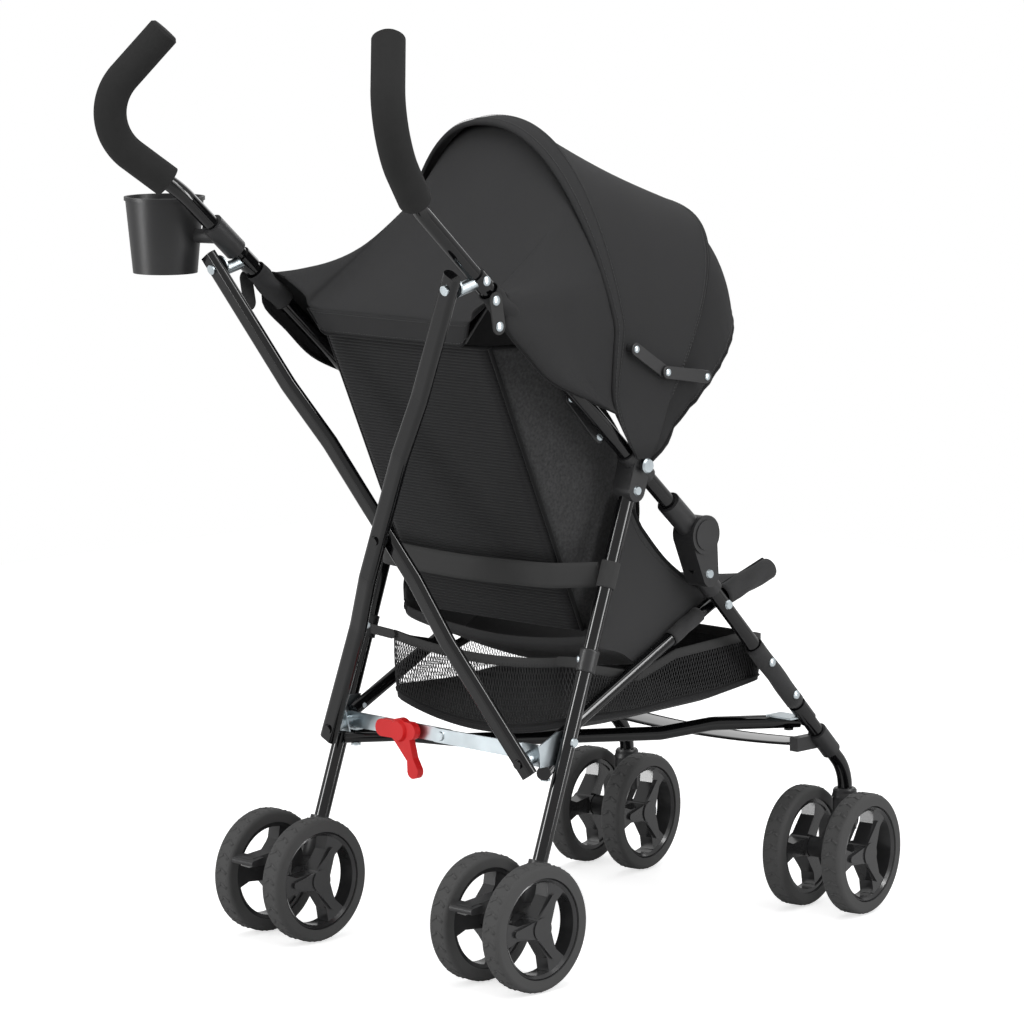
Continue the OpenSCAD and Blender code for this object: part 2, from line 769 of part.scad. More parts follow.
module front_wheel(side, outer) {
    face = side * outer;
    caster(side) wheel_at([trail, axle_z], face * pair_w / 2, face) children();
}

// Crosses and lock

// A rear cross tube from the top pivot on one side to the low pivot on the other; pass is 1 behind, -1 ahead
module cross_tube(side, pass) {
    top = [side * cross_top[0], cross_top[1], cross_top[2]];
    low = [-side * cross_low[0], cross_low[1], cross_low[2]];
    e = unit(low - top);
    span = norm(low - top);
    off = cross_rear * pass * joggle;
    path = [
        top - e * cross_over,
        top + e * span * 0.24,
        top + e * span * 0.36 + off,
        top + e * span * 0.64 + off,
        top + e * span * 0.76,
        low + e * cross_over
    ];
    middle = top + e * span * cross_top[0] / (cross_top[0] + cross_low[0]);
    color(paint) difference() {
        bent(path, cross_bend, cross(e, cross_rear)) {
            oval_ring(0);
            oval_ring(swell);
        }
        bar(top - cross_rear * 20, top + cross_rear * 20, pin_r + run_fit);
        bar(low - cross_rear * 20, low + cross_rear * 20, pin_r + seat_fit);
        if (pass > 0) bar(middle - cross_rear * 20, middle + cross_rear * 30, pin_r + seat_fit);
    }
    face = cross_rear * (cross_t / 2 + seat_fit);
    color(plastic) for (out = [-1, 1])
        frame_at((out < 0 ? path[0] : path[5]) + e * out * seat_fit, e * out, cross(e, cross_rear))
            linear_extrude(plug_t) oval(cross_w, cross_t);
    color(zinc) {
        bar(low - face, low + face + cross_rear * head_t / 2, pin_r);
        bar(low + face, low + face + cross_rear * head_t, head_r);
        if (pass > 0) {
            bar(middle + off - face - cross_rear * washer_t / 2,
                middle + off + face + cross_rear * head_t / 2, pin_r);
            bar(middle + off + face, middle + off + face + cross_rear * head_t, head_r);
            bar(middle + off - face - cross_rear * washer_t, middle + off - face, washer_r);
        }
    }
}

// A lower cross tube from the rear pivot on one side to the front bracket on the other
module lower_tube(side, pass) {
    rear = [side * lower_rear[0], lower_rear[1], lower_rear[2]];
    front = [-side * lower_front[0], lower_front[1], lower_front[2]];
    e = unit(front - rear);
    span = norm(front - rear);
    off = [0, 0, pass * lower_joggle];
    path = [
        rear - e * lower_over,
        rear + e * span * 0.10,
        rear + e * span * 0.24 + off,
        rear + e * span * 0.70 + off,
        rear + e * span * 0.82,
        front + e * lower_over
    ];
    color(paint) difference() {
        tube(path, lower_bend, lower_r, tube_wall, lower_seam);
        bar(rear - [0, 0, 20], rear + [0, 0, 20], pin_r + run_fit);
        bar(front - [0, 0, 20], front, pin_r + seat_fit);
    }
    color(plastic) for (out = [-1, 1]) {
        end = (out < 0 ? path[0] : path[5]) + e * out * seat_fit;
        bar(end, end + e * out * plug_t, lower_r);
    }
    foot = front - [0, 0, lower_r + seat_fit];
    color(zinc) {
        bar(foot - [0, 0, head_t / 2], front, pin_r);
        bar(foot - [0, 0, head_t], foot, head_r);
    }
}

// Half of the folding lock bar; layer 0 is the front plate and 1 the rear one
module lock_bar(side, layer) {
    y = lock_y - (2 - layer) * lock_t - (1 - layer) * lock_gap;
    over = 9;
    color(zinc) difference() {
        translate([0, y + lock_t, 0]) rotate([90, 0, 0]) linear_extrude(lock_t)
            link([side * lock_x, lock_z], lock_h / 2, [-side * over, lock_z], lock_h / 2 - 1);
        translate([side * lock_x, y - 10, lock_z]) rotate([-90, 0, 0])
            cylinder(h = 40, r = lock_pin_r + run_fit);
        if (layer == 0) lever_hole();
    }
    if (layer == 1) color(zinc) translate([0, y + lock_t, lock_z]) rotate([-90, 0, 0])
        cylinder(h = head_t, r1 = head_r, r2 = head_r - 1);
}

lever_x = 58;
lever_face = lock_y + 0.6;

module lever_hole() {
    translate([lever_x, lock_y - 30, lock_z]) rotate([-90, 0, 0]) cylinder(h = 60, r = lock_pin_r + run_fit);
}

// Red lever: a block along the bar, a round boss with its pin, and a tail to step on
module lock_lever() {
    tail = [lever_x - 22, lock_z - 44];
    color(red) {
        translate([0, lever_face + 9, 0]) rotate([90, 0, 0]) linear_extrude(9) {
            link([lever_x + 28, lock_z], 10, [lever_x - 16, lock_z + 1], 10);
            link([lever_x, lock_z], 14, tail + [4, 13], 5);
            link(tail + [4, 13], 5, tail, 8.5);
        }
        translate([lever_x, lever_face + 9, lock_z]) rotate([-90, 0, 0]) cylinder(h = 4, r1 = 13, r2 = 11);
        translate([lever_x, lock_y - 2 * lock_t - lock_gap - 2, lock_z]) rotate([-90, 0, 0])
            cylinder(h = 2 * lock_t + lock_gap + 4, r = lock_pin_r);
    }
}

// Hood

function arch(lean, h, w, round, t) = [
    w * sign(cos(t)) * pow(abs(cos(t)), round),
    pivot[0] + h * pow(sin(t), round) * sin(lean),
    pivot[1] + h * pow(sin(t), round) * cos(lean)
];
function steps(start) = [for (j = [0 : hood_columns]) start + (180 - 2 * start) * j / hood_columns];
function arch_row(lean, h, w, round, start) = [for (t = steps(start)) arch(lean, h, w, round, t)];
function mix(a, b, s) = [for (j = [0 : len(a) - 1]) a[j] + (b[j] - a[j]) * s];
function hem_row(drop, inset) = [
    for (t = steps(cloth_start)) [
        (hem_w - inset) * sign(cos(t)) * pow(abs(cos(t)), 0.4),
        hem_y - inset,
        hem_z + hem_lift * pow(abs(cos(t)), 4) - drop
    ]
];

// Rear panel's grid, from the hem up to its edge under the band
function rear_grid(inset) = let (
    edge = arch_row(bow_lean + 1, bow_h - 9 - inset, bow_w - 9 - inset, mid_round, cloth_start),
    hem = hem_row(0, inset)
) [
    hem_row(hem_drop, inset),
    hem,
    for (s = [0.3, 0.6, 0.85]) [
        for (p = mix(hem, edge, s)) p + [0, 6, 8] * sin(180 * s)
    ],
    edge
];

// Main panel's grid, from the band's rear edge over the middle bow to the front edge
function main_grid(inset) = let (
    mid = arch_row(bow_lean, bow_h - inset, bow_w - inset, mid_round, cloth_start),
    front = arch_row(-front_lean, front_h - inset, front_w - inset, front_round, cloth_start)
) [
    arch_row(bow_lean + band_deg, bow_h - 1 - inset, bow_w - 1 - inset, mid_round, cloth_start),
    mid,
    mix(mid, front, 0.12),
    mix(mid, front, 0.5),
    front
];

module hood() {
    color(cloth) {
        sheet(rear_grid(0), rear_grid(cloth_t));
        sheet(main_grid(0), main_grid(cloth_t));
    }
}

function visor_grid(inset) = [
    arch_row(2 - front_lean, visor_h - inset, visor_w - inset, front_round, cloth_start),
    arch_row(-front_lean, visor_h - inset, visor_w - inset, front_round, cloth_start),
    arch_row(-(front_lean + lip_lean) / 2, (visor_h + lip_h) / 2 + 2 - inset, visor_w + 1 - inset,
        (front_round + lip_round) / 2, cloth_start),
    arch_row(-lip_lean, lip_h - inset, lip_w - inset, lip_round, cloth_start)
];

module visor() {
    color(cloth) sheet(visor_grid(0), visor_grid(cloth_t));
}

// A bow: its wire under the cloth, whose ends step out below the cloth to the arm at x
module bow(lean, h, w, round, x) {
    inset = cloth_t + clear + bow_d / 2;
    crown = arch_row(lean, h - inset, w - inset, round, cloth_start);
    low = [x - bow_d / 2 - clear, wire_low];
    turn_in = [w - wire_step, wire_in];
    function at(side, p) = lift(side * p[0], pivot + [sin(lean), cos(lean)] * p[1]);
    color(plastic) wire(concat(
        [at(1, low), at(1, turn_in)],
        [for (j = [1 : hood_columns - 1]) crown[j]],
        [at(-1, turn_in), at(-1, low)]
    ), bow_d / 2);
}

// A bow's flat arms on the hood pivot
module bow_arms(lean, x) {
    along_bow = [sin(lean), cos(lean)];
    color(plastic) for (side = [-1, 1]) on_side(side) difference() {
        plate(x, arm_t) link(pivot, 11, pivot + along_bow * arm_len, 6);
        hole_x(pivot, x - 10, x + 20, pivot_r + run_fit);
    }
}

module hood_bow() {
    bow(bow_lean, bow_h, bow_w, mid_round, arm_in);
    bow_arms(bow_lean, arm_in);
}

module visor_bow() {
    bow(-front_lean, visor_h, visor_w, front_round, arm_out);
    bow_arms(-front_lean, arm_out);
}

// How far out an arch is at a distance r from the pivot
function arch_side(h, w, round, r) = w * pow(cos(asin(pow(r / h, 1 / round))), round);

// A stay link at x with a boss that stands on the cloth at its pivot, and silver rivet heads
module stay_link(a, b, x, cloth_x, heads) {
    for (side = [-1, 1]) on_side(side) {
        color(plastic) {
            plate(x, stay_t) link(a, stay_r, b, stay_r);
            hole_x(a, cloth_x + 2 * clear, x + stay_t / 2, boss_r);
        }
        color(zinc) for (p = heads) hole_x(p, x + stay_t / 2, x + stay_t + head_t, boss_r - 1);
    }
}

module stay_rear() {
    foot = arch_side(bow_h, bow_w, mid_round, norm(stay_a - pivot));
    stay_link(stay_a, stay_knee, stay_x, foot, [stay_a]);
}

module stay_front() {
    foot = arch_side((visor_h + lip_h) / 2 + 2, visor_w + 1, (front_round + lip_round) / 2,
        norm(stay_b - pivot));
    stay_link(stay_b, stay_knee, stay_x + stay_t + clear, foot, [stay_b, stay_knee]);
}

// Seat

// Across the back: wing edge, wing, corner, panel and the same again
function back_row(v, inset) = let (
    z = hinge_z + 4 + (back_top - hinge_z - 4) * v,
    y = back_y(z) - 3,
    half = back_half_low + (back_half_top - back_half_low) * v - inset,
    depth = 14 + wing_depth * pow(sin(180 * v), 1.1),
    flare = 4 + 18 * v * v,
    side = [
        [half + flare, y - depth],
        [half + flare * 0.6, y - depth * 0.5],
        [half, y - 9 - inset],
        [half - 9, y - inset],
        [half * 0.5, y + 3 - inset]
    ]
) concat(
    [for (p = side) [p[0], p[1], z]],
    [[0, y + 4 - inset, z]],
    [for (k = [4 : -1 : 0]) [-side[k][0], side[k][1], z]]
);

module seat_back() {
    levels = [0, 0.08, 0.2, 0.35, 0.5, 0.65, 0.8, 0.92, 1];
    color(net) sheet([for (v = levels) back_row(v, 0)], [for (v = levels) back_row(v, seat_t)]);
}

// Height of the seat tube's axis at y
function seat_z(y) = let (end = y > seat_pivot[1] ? seat_rear : seat_tip)
    seat_pivot[2] + (end[2] - seat_pivot[2]) * (y - seat_pivot[1]) / (end[1] - seat_pivot[1]);

// Side edge of the hammock as [y, bottom z, wall top z]; it hangs beside the seat tube as far as sling_low
sling_round = 8;
sling_low = -75;
function beside(y, top) = [y, seat_z(y) + 1 - sling_round, top];
sling_edge = [
    beside(seat_tip[1], seat_tip[2] + 10),
    beside(seat_pivot[1] - 45, seat_z(seat_pivot[1] - 45) + 9),
    beside(seat_pivot[1], seat_pivot[2] + 14),
    beside(-120, front_z(-120) - 14),
    beside(sling_low, 472),
    [-28, 336, leg_top[1] - 12],
    [10, 349, 412],
    [hinge_back - 4.1, hinge_z - 2, hinge_z + 8]
];
function sling_row(e, inset) = let (w = sling_half - inset, b = e[1] + inset, c = sling_round) concat(
    [[w, e[0], e[2]], [w, e[0], b + c], [w - c, e[0], b], [w * 0.5, e[0], b - sling_sag * 0.7]],
    [[0, e[0], b - sling_sag]],
    [[-w * 0.5, e[0], b - sling_sag * 0.7], [c - w, e[0], b], [-w, e[0], b + c], [-w, e[0], e[2]]]
);

module seat_sling() {
    color(cloth) sheet([for (e = sling_edge) sling_row(e, seat_t)], [for (e = sling_edge) sling_row(e, 0)]);
}

// Shoulder straps and their buckle, lying on the front of the seat back
module harness() {
    lie = seat_t + 2 * clear;
    web_t = 1.6;
    strap_half = 10;
    color(net) frame_at([0, back_y(hinge_z) - lie / cos(back_lean), hinge_z],
        [0, -cos(back_lean), sin(back_lean)], [0, sin(back_lean), cos(back_lean)]) {
        for (s = [-1, 1]) linear_extrude(web_t) polygon([
            [s * 20 - strap_half, 70],
            [s * 20 + strap_half, 70],
            [s * 52 + strap_half, 300],
            [s * 52 - strap_half, 300]
        ]);
        linear_extrude(9) link([0, 44], 22, [0, 62], 25);
    }
}

// A cylinder round a rear leg, reach above and below z
module on_leg(side, z, reach, r) {
    bar([side * side_x, rear_y(z + reach), z + reach], [side * side_x, rear_y(z - reach), z - reach], r);
}

// Webbing behind the seat back, round both rear legs
module recline_strap() {
    leg_y = rear_y(strap_z);
    back = back_y(strap_z + strap_w / 2) + 5;
    half = back_half_low + 4;
    inner = leg_r + clear;
    color(net) translate([0, 0, strap_z - strap_w / 2]) linear_extrude(strap_w) {
        polygon([
            [-side_x + inner, leg_y + 4], [-half, back], [half, back], [side_x - inner, leg_y + 4],
            [side_x - inner, leg_y + 4 + 2 * strap_t], [half + 1, back + strap_t],
            [-half - 1, back + strap_t], [-side_x + inner, leg_y + 4 + 2 * strap_t]
        ]);
    }
    color(net) for (side = [-1, 1]) difference() {
        on_leg(side, strap_z, 14, inner + strap_t);
        on_leg(side, strap_z, 40, inner);
    }
}

// Open basket between the seat tubes, hung from the legs
module basket() {
    outline = [
        [basket_rear, rim_z],
        [basket_rear + 6, basket_z + 30],
        [basket_rear - 4, basket_z + 6],
        [-60, basket_z],
        [basket_front, basket_z + 10],
        [basket_front - 10, basket_z + 18],
        [basket_front + 30, basket_z + 68],
        [-130, 322],
        [sling_low + 5, 309],
        [0, 328]
    ];
    hollow = [
        [basket_rear - basket_t, rim_z + 40],
        [basket_rear - basket_t, rim_z - 8],
        [basket_rear + 6 - basket_t, basket_z + 30],
        [basket_rear - 5 - basket_t, basket_z + 6 + basket_t],
        [-60, basket_z + basket_t],
        [basket_front + basket_t, basket_z + 10 + basket_t],
        [basket_front - 8 + basket_t, basket_z + 18],
        [basket_front + 30 + basket_t, basket_z + 68],
        [basket_front + 30 + basket_t, rim_z + 40]
    ];
    color(net) difference() {
        plate(-basket_half, 2 * basket_half) polygon(outline);
        plate(-basket_half + basket_t, 2 * (basket_half - basket_t)) polygon(hollow);
    }
    clip_z = rim_z - 9;
    color(plastic) for (side = [-1, 1]) on_side(side) difference() {
        union() {
            on_leg(1, clip_z, 12, leg_r + 2.6);
            translate([basket_half + 0.2, basket_rear - 12, clip_z - 8])
                cube([side_x - basket_half, 6, 16]);
        }
        on_leg(1, clip_z, 40, leg_r + clear);
    }
}

module foot_strap() {
    half = side_x - 14 - clear;
    color(net) translate([-half, foot_leg_y, foot_strap_z - foot_strap_t / 2])
        cube([2 * half, foot_strap_w, foot_strap_t]);
}

// Cup on a clamp sleeve round the left handle tube
module cup_holder() {
    centre = [cup_x, cup_y, cup_z];
    clamp = handle_at(cup_run);
    color(plastic) difference() {
        union() {
            translate(centre) cylinder(h = cup_h, r1 = cup_foot_d / 2, r2 = cup_d / 2);
            translate(centre + [0, 0, cup_h - 4]) cylinder(h = 4, r = cup_d / 2 + 1.2);
            bar(clamp - handle_axis * clamp_len / 2, clamp + handle_axis * clamp_len / 2, clamp_r);
            bar(clamp, centre + [0, 0, cup_h / 2], 8);
        }
        translate(centre + [0, 0, cup_wall])
            cylinder(h = cup_h, r1 = cup_foot_d / 2 - cup_wall, r2 = cup_d / 2 - cup_wall);
        bar(clamp - handle_axis * 60, clamp + handle_axis * 60, handle_r + seat_fit);
    }
}

on_side(1) handle_tube();  // left_handle_tube
on_side(-1) handle_tube();  // right_handle_tube
on_side(1) grip();  // left_grip
on_side(-1) grip();  // right_grip
on_side(1) front_leg();  // left_front_leg
on_side(-1) front_leg();  // right_front_leg
on_side(1) rear_leg();  // left_rear_leg
on_side(-1) rear_leg();  // right_rear_leg
on_side(1) seat_tube();  // left_seat_tube
on_side(-1) seat_tube();  // right_seat_tube
on_side(1) mouldings();  // left_mouldings
on_side(-1) mouldings();  // right_mouldings
on_side(1) fittings();  // left_fittings
on_side(-1) fittings();  // right_fittings
on_side(1) rear_housing();  // left_rear_housing
on_side(-1) rear_housing();  // right_rear_housing
on_side(1) rear_axle_rod();  // left_rear_axle
on_side(-1) rear_axle_rod();  // right_rear_axle
on_side(1) brake_pedal();  // left_brake_pedal
on_side(-1) brake_pedal();  // right_brake_pedal
caster(1) caster_fork();  // left_caster_fork
caster(-1) caster_fork();  // right_caster_fork
caster(1) front_axle_rod();  // left_front_axle
caster(-1) front_axle_rod();  // right_front_axle
rear_wheel(1, 1) rim();  // left_rear_outer_rim
rear_wheel(1, 1) tyre();  // left_rear_outer_tyre
rear_wheel(1, -1) rim();  // left_rear_inner_rim
rear_wheel(1, -1) tyre();  // left_rear_inner_tyre
rear_wheel(-1, 1) rim();  // right_rear_outer_rim
rear_wheel(-1, 1) tyre();  // right_rear_outer_tyre
rear_wheel(-1, -1) rim();  // right_rear_inner_rim
rear_wheel(-1, -1) tyre();  // right_rear_inner_tyre
front_wheel(1, 1) rim();  // left_front_outer_rim
front_wheel(1, 1) tyre();  // left_front_outer_tyre
front_wheel(1, -1) rim();  // left_front_inner_rim
front_wheel(1, -1) tyre();  // left_front_inner_tyre
front_wheel(-1, 1) rim();  // right_front_outer_rim
front_wheel(-1, 1) tyre();  // right_front_outer_tyre
front_wheel(-1, -1) rim();  // right_front_inner_rim
front_wheel(-1, -1) tyre();  // right_front_inner_tyre
cross_tube(-1, 1);  // cross_tube_a
cross_tube(1, -1);  // cross_tube_b
lower_tube(1, -1);  // lower_tube_a
lower_tube(-1, 1);  // lower_tube_b
lock_bar(1, 0);  // left_lock_bar
lock_bar(-1, 1);  // right_lock_bar
lock_lever();
hood();
hood_bow();
visor();
visor_bow();
stay_rear();
stay_front();
seat_back();
seat_sling();
harness();
recline_strap();
basket();
foot_strap();
cup_holder();
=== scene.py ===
import json
import math

import bmesh
import bpy
import numpy as np
from bpy.props import FloatProperty, FloatVectorProperty, IntProperty, PointerProperty
from mathutils import Matrix, Vector


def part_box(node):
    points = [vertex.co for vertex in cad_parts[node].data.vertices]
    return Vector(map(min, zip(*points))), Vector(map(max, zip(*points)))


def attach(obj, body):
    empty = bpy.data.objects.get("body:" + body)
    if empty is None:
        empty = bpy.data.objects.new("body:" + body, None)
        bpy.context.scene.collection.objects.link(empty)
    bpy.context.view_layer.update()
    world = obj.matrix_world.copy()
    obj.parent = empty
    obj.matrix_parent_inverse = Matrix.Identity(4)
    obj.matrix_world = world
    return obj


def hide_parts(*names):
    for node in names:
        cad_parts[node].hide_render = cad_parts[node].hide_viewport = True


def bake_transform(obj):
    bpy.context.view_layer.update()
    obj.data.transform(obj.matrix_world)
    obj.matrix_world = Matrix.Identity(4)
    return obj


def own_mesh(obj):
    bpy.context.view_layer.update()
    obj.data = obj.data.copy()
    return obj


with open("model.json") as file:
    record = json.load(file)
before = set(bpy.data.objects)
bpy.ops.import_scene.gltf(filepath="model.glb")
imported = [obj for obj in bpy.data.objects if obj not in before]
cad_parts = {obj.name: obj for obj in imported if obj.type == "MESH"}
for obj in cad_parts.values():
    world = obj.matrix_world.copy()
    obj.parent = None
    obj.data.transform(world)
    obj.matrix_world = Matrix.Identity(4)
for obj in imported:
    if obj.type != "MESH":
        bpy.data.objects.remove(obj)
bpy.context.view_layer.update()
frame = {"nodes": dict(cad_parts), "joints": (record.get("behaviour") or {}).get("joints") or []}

bl_info = {
    "name": "Umbrella stroller dressing",
    "version": (1, 0, 0),
    "blender": (4, 5, 0),
    "location": "3D View > Sidebar > Stroller",
    "description": "Hood, seat, basket, straps, tread and finishes on a stroller's packed frame",
    "category": "Object",
}

# Places below are in millimetres, as the part's own sizes are; meshes are made in metres.
MM = 0.001


def joint_place(name):
    """A joint's place at rest, in millimetres."""
    joint = next(j for j in frame["joints"] if j["name"] == name)
    return np.array(joint["pos_m"], float) / MM


FOLD = next(j for j in frame["joints"] if j["name"] == "fold")
PIVOT = joint_place("visor_turn")
HINGE = joint_place("recline")
STAY_REAR = joint_place("stay_rear_turn")
STAY_FRONT = joint_place("stay_front_turn")
SIDE_X = joint_place("fold")[0]
FOLD_REACH = FOLD["range_m"][1] / MM

# Side frame, as [y, z] in its own plane
HANDLE_TILT = math.radians(41.6)
HANDLE_LEN = 587.0
HANDLE_SPLAY = 12.0
HANDLE_R = 9.0
PIVOT_RUN = 133.7
CLAMP_RUN = 466.0
LEG_R = 8.5
LEG_IN = SIDE_X - LEG_R
LEG_TOP = PIVOT[1:] + np.array([9.0, -27.5])
REAR_LEAN = math.radians(19.65)
FRONT_TILT = math.radians(46)
FRONT_TOP = np.array([-141.0, 420.0])
SEAT_R = 7.5
SEAT_X = LEG_IN - 2 - SEAT_R
SEAT_PIVOT_Y = -180.0
WHEEL_R = 70.0
TYRE_W = 26.0
CASTER_TURN = math.radians(9)

# Hood: lean behind upright, height, half width and roundness of each bow's arch
MID_BOW = (5.0, 378.0, 182.0, 0.9)
FRONT_BOW = (-36.0, 340.0, 186.0, 0.72)
LIP_BOW = (-60.0, 318.0, 176.0, 0.85)
# How much lower and narrower the visor starts than the main panel's front edge
VISOR_INSET = (12.0, 9.0)
HOOD_HALF = 190.0
HOOD_CENTRE = np.array([0.0, -60.0, 640.0])
# Half width of the hood's cloth at the pivot, and the rise above the pivot where the cloth starts
PIVOT_X = 195.8
FIRST_RISE = 9.0
# Rise where an arch's flared ends start to draw in, and the rise over which they do
FLARE_RISE = (25.0, 60.0)
# Swell of the cloth behind the pivot, and the rise that it reaches to
SKIRT = 30.0
SKIRT_RISE = 155.0
# Share by which cloth between two bows is drawn in, and how far from the pivot it is so in full
PANEL_SAG = 0.016
TAUT_REACH = 130.0

# Seat and basket
BACK_LEAN = math.radians(24)
BACK_FOOT_Y = HINGE[1] - 40
BACK_TOP = 692.0
BACK_HALF = (126.0, 127.0)
WING_DEPTH = 140.0
SEAT_REAR_Z = 256.0
SLING_HALF = SEAT_X - SEAT_R - 0.4
STRAP_Z = 434.0
STRAP_W = 28.0
BASKET_Y = (-290.0, 40.0)
FOOT_STRAP_Z = 199.0
FOOT_STRAP_W = 44.0

SIDES = {"left": 1, "right": -1}


def handle_at(run):
    """A point on the left handle tube's axis, run millimetres above the knuckle."""
    y, z = PIVOT[1:] + (run - PIVOT_RUN) * np.array([math.cos(HANDLE_TILT), math.sin(HANDLE_TILT)])
    return np.array([SIDE_X + HANDLE_SPLAY * run / HANDLE_LEN, y, z])


def rear_y(z):
    return LEG_TOP[0] + (LEG_TOP[1] - z) * math.tan(REAR_LEAN)


def front_y(z):
    return FRONT_TOP[0] - (FRONT_TOP[1] - z) / math.tan(FRONT_TILT)


def front_z(y):
    return FRONT_TOP[1] - (FRONT_TOP[0] - y) * math.tan(FRONT_TILT)


def back_y(z):
    return BACK_FOOT_Y + (z - HINGE[2]) * math.tan(BACK_LEAN)


SEAT_PIVOT = np.array([SEAT_PIVOT_Y, front_z(SEAT_PIVOT_Y)])
SEAT_REAR = np.array([rear_y(SEAT_REAR_Z), SEAT_REAR_Z])
SEAT_TIP = SEAT_PIVOT + np.array([-96.0, 28.0])


def seat_z(y):
    """Height of the seat tube's axis at y."""
    end = SEAT_REAR if y > SEAT_PIVOT[0] else SEAT_TIP
    share = (y - SEAT_PIVOT[0]) / (end[0] - SEAT_PIVOT[0])
    return SEAT_PIVOT[1] + (end[1] - SEAT_PIVOT[1]) * share


def mirrored(point, side):
    return np.array([side * point[0], point[1], point[2]])


# Settings


class StrollerSizes(bpy.types.PropertyGroup):
    """Sizes of the soft goods and trim"""

    cloth_t: FloatProperty(
        name="Cloth", description="Thickness of the hood's cloth",
        default=0.001, unit="LENGTH")
    seat_t: FloatProperty(
        name="Seat cloth", description="Thickness of the seat's lined cloth",
        default=0.002, unit="LENGTH")
    piping_r: FloatProperty(
        name="Piping", description="Radius of the piped edges",
        default=0.0022, unit="LENGTH")
    stitch_pitch: FloatProperty(
        name="Stitch pitch", description="Distance from one stitch to the next",
        default=0.0042, unit="LENGTH")
    stitch_r: FloatProperty(
        name="Thread", description="Radius of the sewing thread",
        default=0.00032, unit="LENGTH")
    rib_pitch: FloatProperty(
        name="Rib pitch", description="Distance between the ribs of the seat back's knit",
        default=0.004, unit="LENGTH")
    rib_h: FloatProperty(
        name="Rib height", description="Height of those ribs",
        default=0.0012, unit="LENGTH")
    net_pitch: FloatProperty(
        name="Net pitch", description="Width of a hole in the basket's net",
        default=0.0042, unit="LENGTH")
    net_r: FloatProperty(
        name="Net strand", description="Radius of the net's strands",
        default=0.0005, unit="LENGTH")
    bow_r: FloatProperty(
        name="Bow wire", description="Radius of the hood's bows",
        default=0.003, unit="LENGTH")
    tread_count: IntProperty(
        name="Tread blocks", description="Chevrons round one tyre", default=26)
    tread_h: FloatProperty(
        name="Tread height", description="Height of the tread above the tyre",
        default=0.0004, unit="LENGTH")


class StrollerColours(bpy.types.PropertyGroup):
    """Base colours of the finishes"""

    hood: FloatVectorProperty(
        name="Hood", description="Hood and side panels", subtype="COLOR", default=(0.044, 0.044, 0.045))
    knit: FloatVectorProperty(
        name="Knit", description="Ribbed knit of the seat back", subtype="COLOR",
        default=(0.020, 0.020, 0.021))
    heather: FloatVectorProperty(
        name="Heather", description="Wings beside the seat back", subtype="COLOR",
        default=(0.044, 0.044, 0.045))
    webbing: FloatVectorProperty(
        name="Webbing", description="Straps and bindings", subtype="COLOR", default=(0.011, 0.011, 0.012))
    paint: FloatVectorProperty(
        name="Paint", description="Gloss paint of the tubes", subtype="COLOR",
        default=(0.0025, 0.0025, 0.003))
    plastic: FloatVectorProperty(
        name="Plastic", description="Moulded plastic", subtype="COLOR", default=(0.029, 0.029, 0.030))
    foam: FloatVectorProperty(
        name="Foam", description="Foam of the grips", subtype="COLOR", default=(0.029, 0.029, 0.029))
    tyre: FloatVectorProperty(
        name="Tyre", description="Tyres", subtype="COLOR", default=(0.010, 0.010, 0.010))
    zinc: FloatVectorProperty(
        name="Zinc", description="Plated brackets and rivets", subtype="COLOR", default=(0.56, 0.62, 0.65))
    lever: FloatVectorProperty(
        name="Lever", description="Lock lever", subtype="COLOR", default=(0.80, 0.012, 0.014))


def sizes():
    return bpy.context.scene.stroller_sizes


def colours():
    return bpy.context.scene.stroller_colours


# Node groups and materials


def kept(name):
    """Makes a node group once, and finds it by its name after that."""
    def wrap(make):
        return lambda: bpy.data.node_groups.get(name) or make(name)
    return wrap


def node_group(name, kind, inputs, outputs):
    """An empty node group with sockets by name; returns it with its input and output nodes."""
    group = bpy.data.node_groups.new(name, kind)
    for label, (socket_kind, default) in inputs.items():
        socket = group.interface.new_socket(label, in_out="INPUT", socket_type="NodeSocket" + socket_kind)
        if default is not None:
            socket.default_value = default
    for label, socket_kind in outputs.items():
        group.interface.new_socket(label, in_out="OUTPUT", socket_type="NodeSocket" + socket_kind)
    return group, group.nodes.new("NodeGroupInput"), group.nodes.new("NodeGroupOutput")


def add(tree, kind, links=None, **values):
    """Adds a node; links maps its inputs to sockets or constants, values set its own properties."""
    node = tree.nodes.new(kind)
    for key, value in values.items():
        setattr(node, key, value)
    for key, value in (links or {}).items():
        if isinstance(value, bpy.types.NodeSocket):
            tree.links.new(value, node.inputs[key])
        else:
            node.inputs[key].default_value = value
    return node


def maths(tree, operation, *values):
    return add(tree, "ShaderNodeMath", dict(enumerate(values)), operation=operation).outputs[0]


@kept("grain")
def grain_group(name):
    """Fine moulded or foamed grain on Object coordinates: a height and a slower variation."""
    group, start, end = node_group(
        name, "ShaderNodeTree", {"Scale": ("Float", 900.0), "Patch scale": ("Float", 9.0)},
        {"Height": "Float", "Patch": "Float"})
    place = add(group, "ShaderNodeTexCoord").outputs["Object"]
    for scale, detail, result in (("Scale", 2.0, "Height"), ("Patch scale", 3.0, "Patch")):
        noise = add(group, "ShaderNodeTexNoise",
                    {"Vector": place, "Scale": start.outputs[scale], "Detail": detail})
        group.links.new(noise.outputs[0], end.inputs[result])
    return group


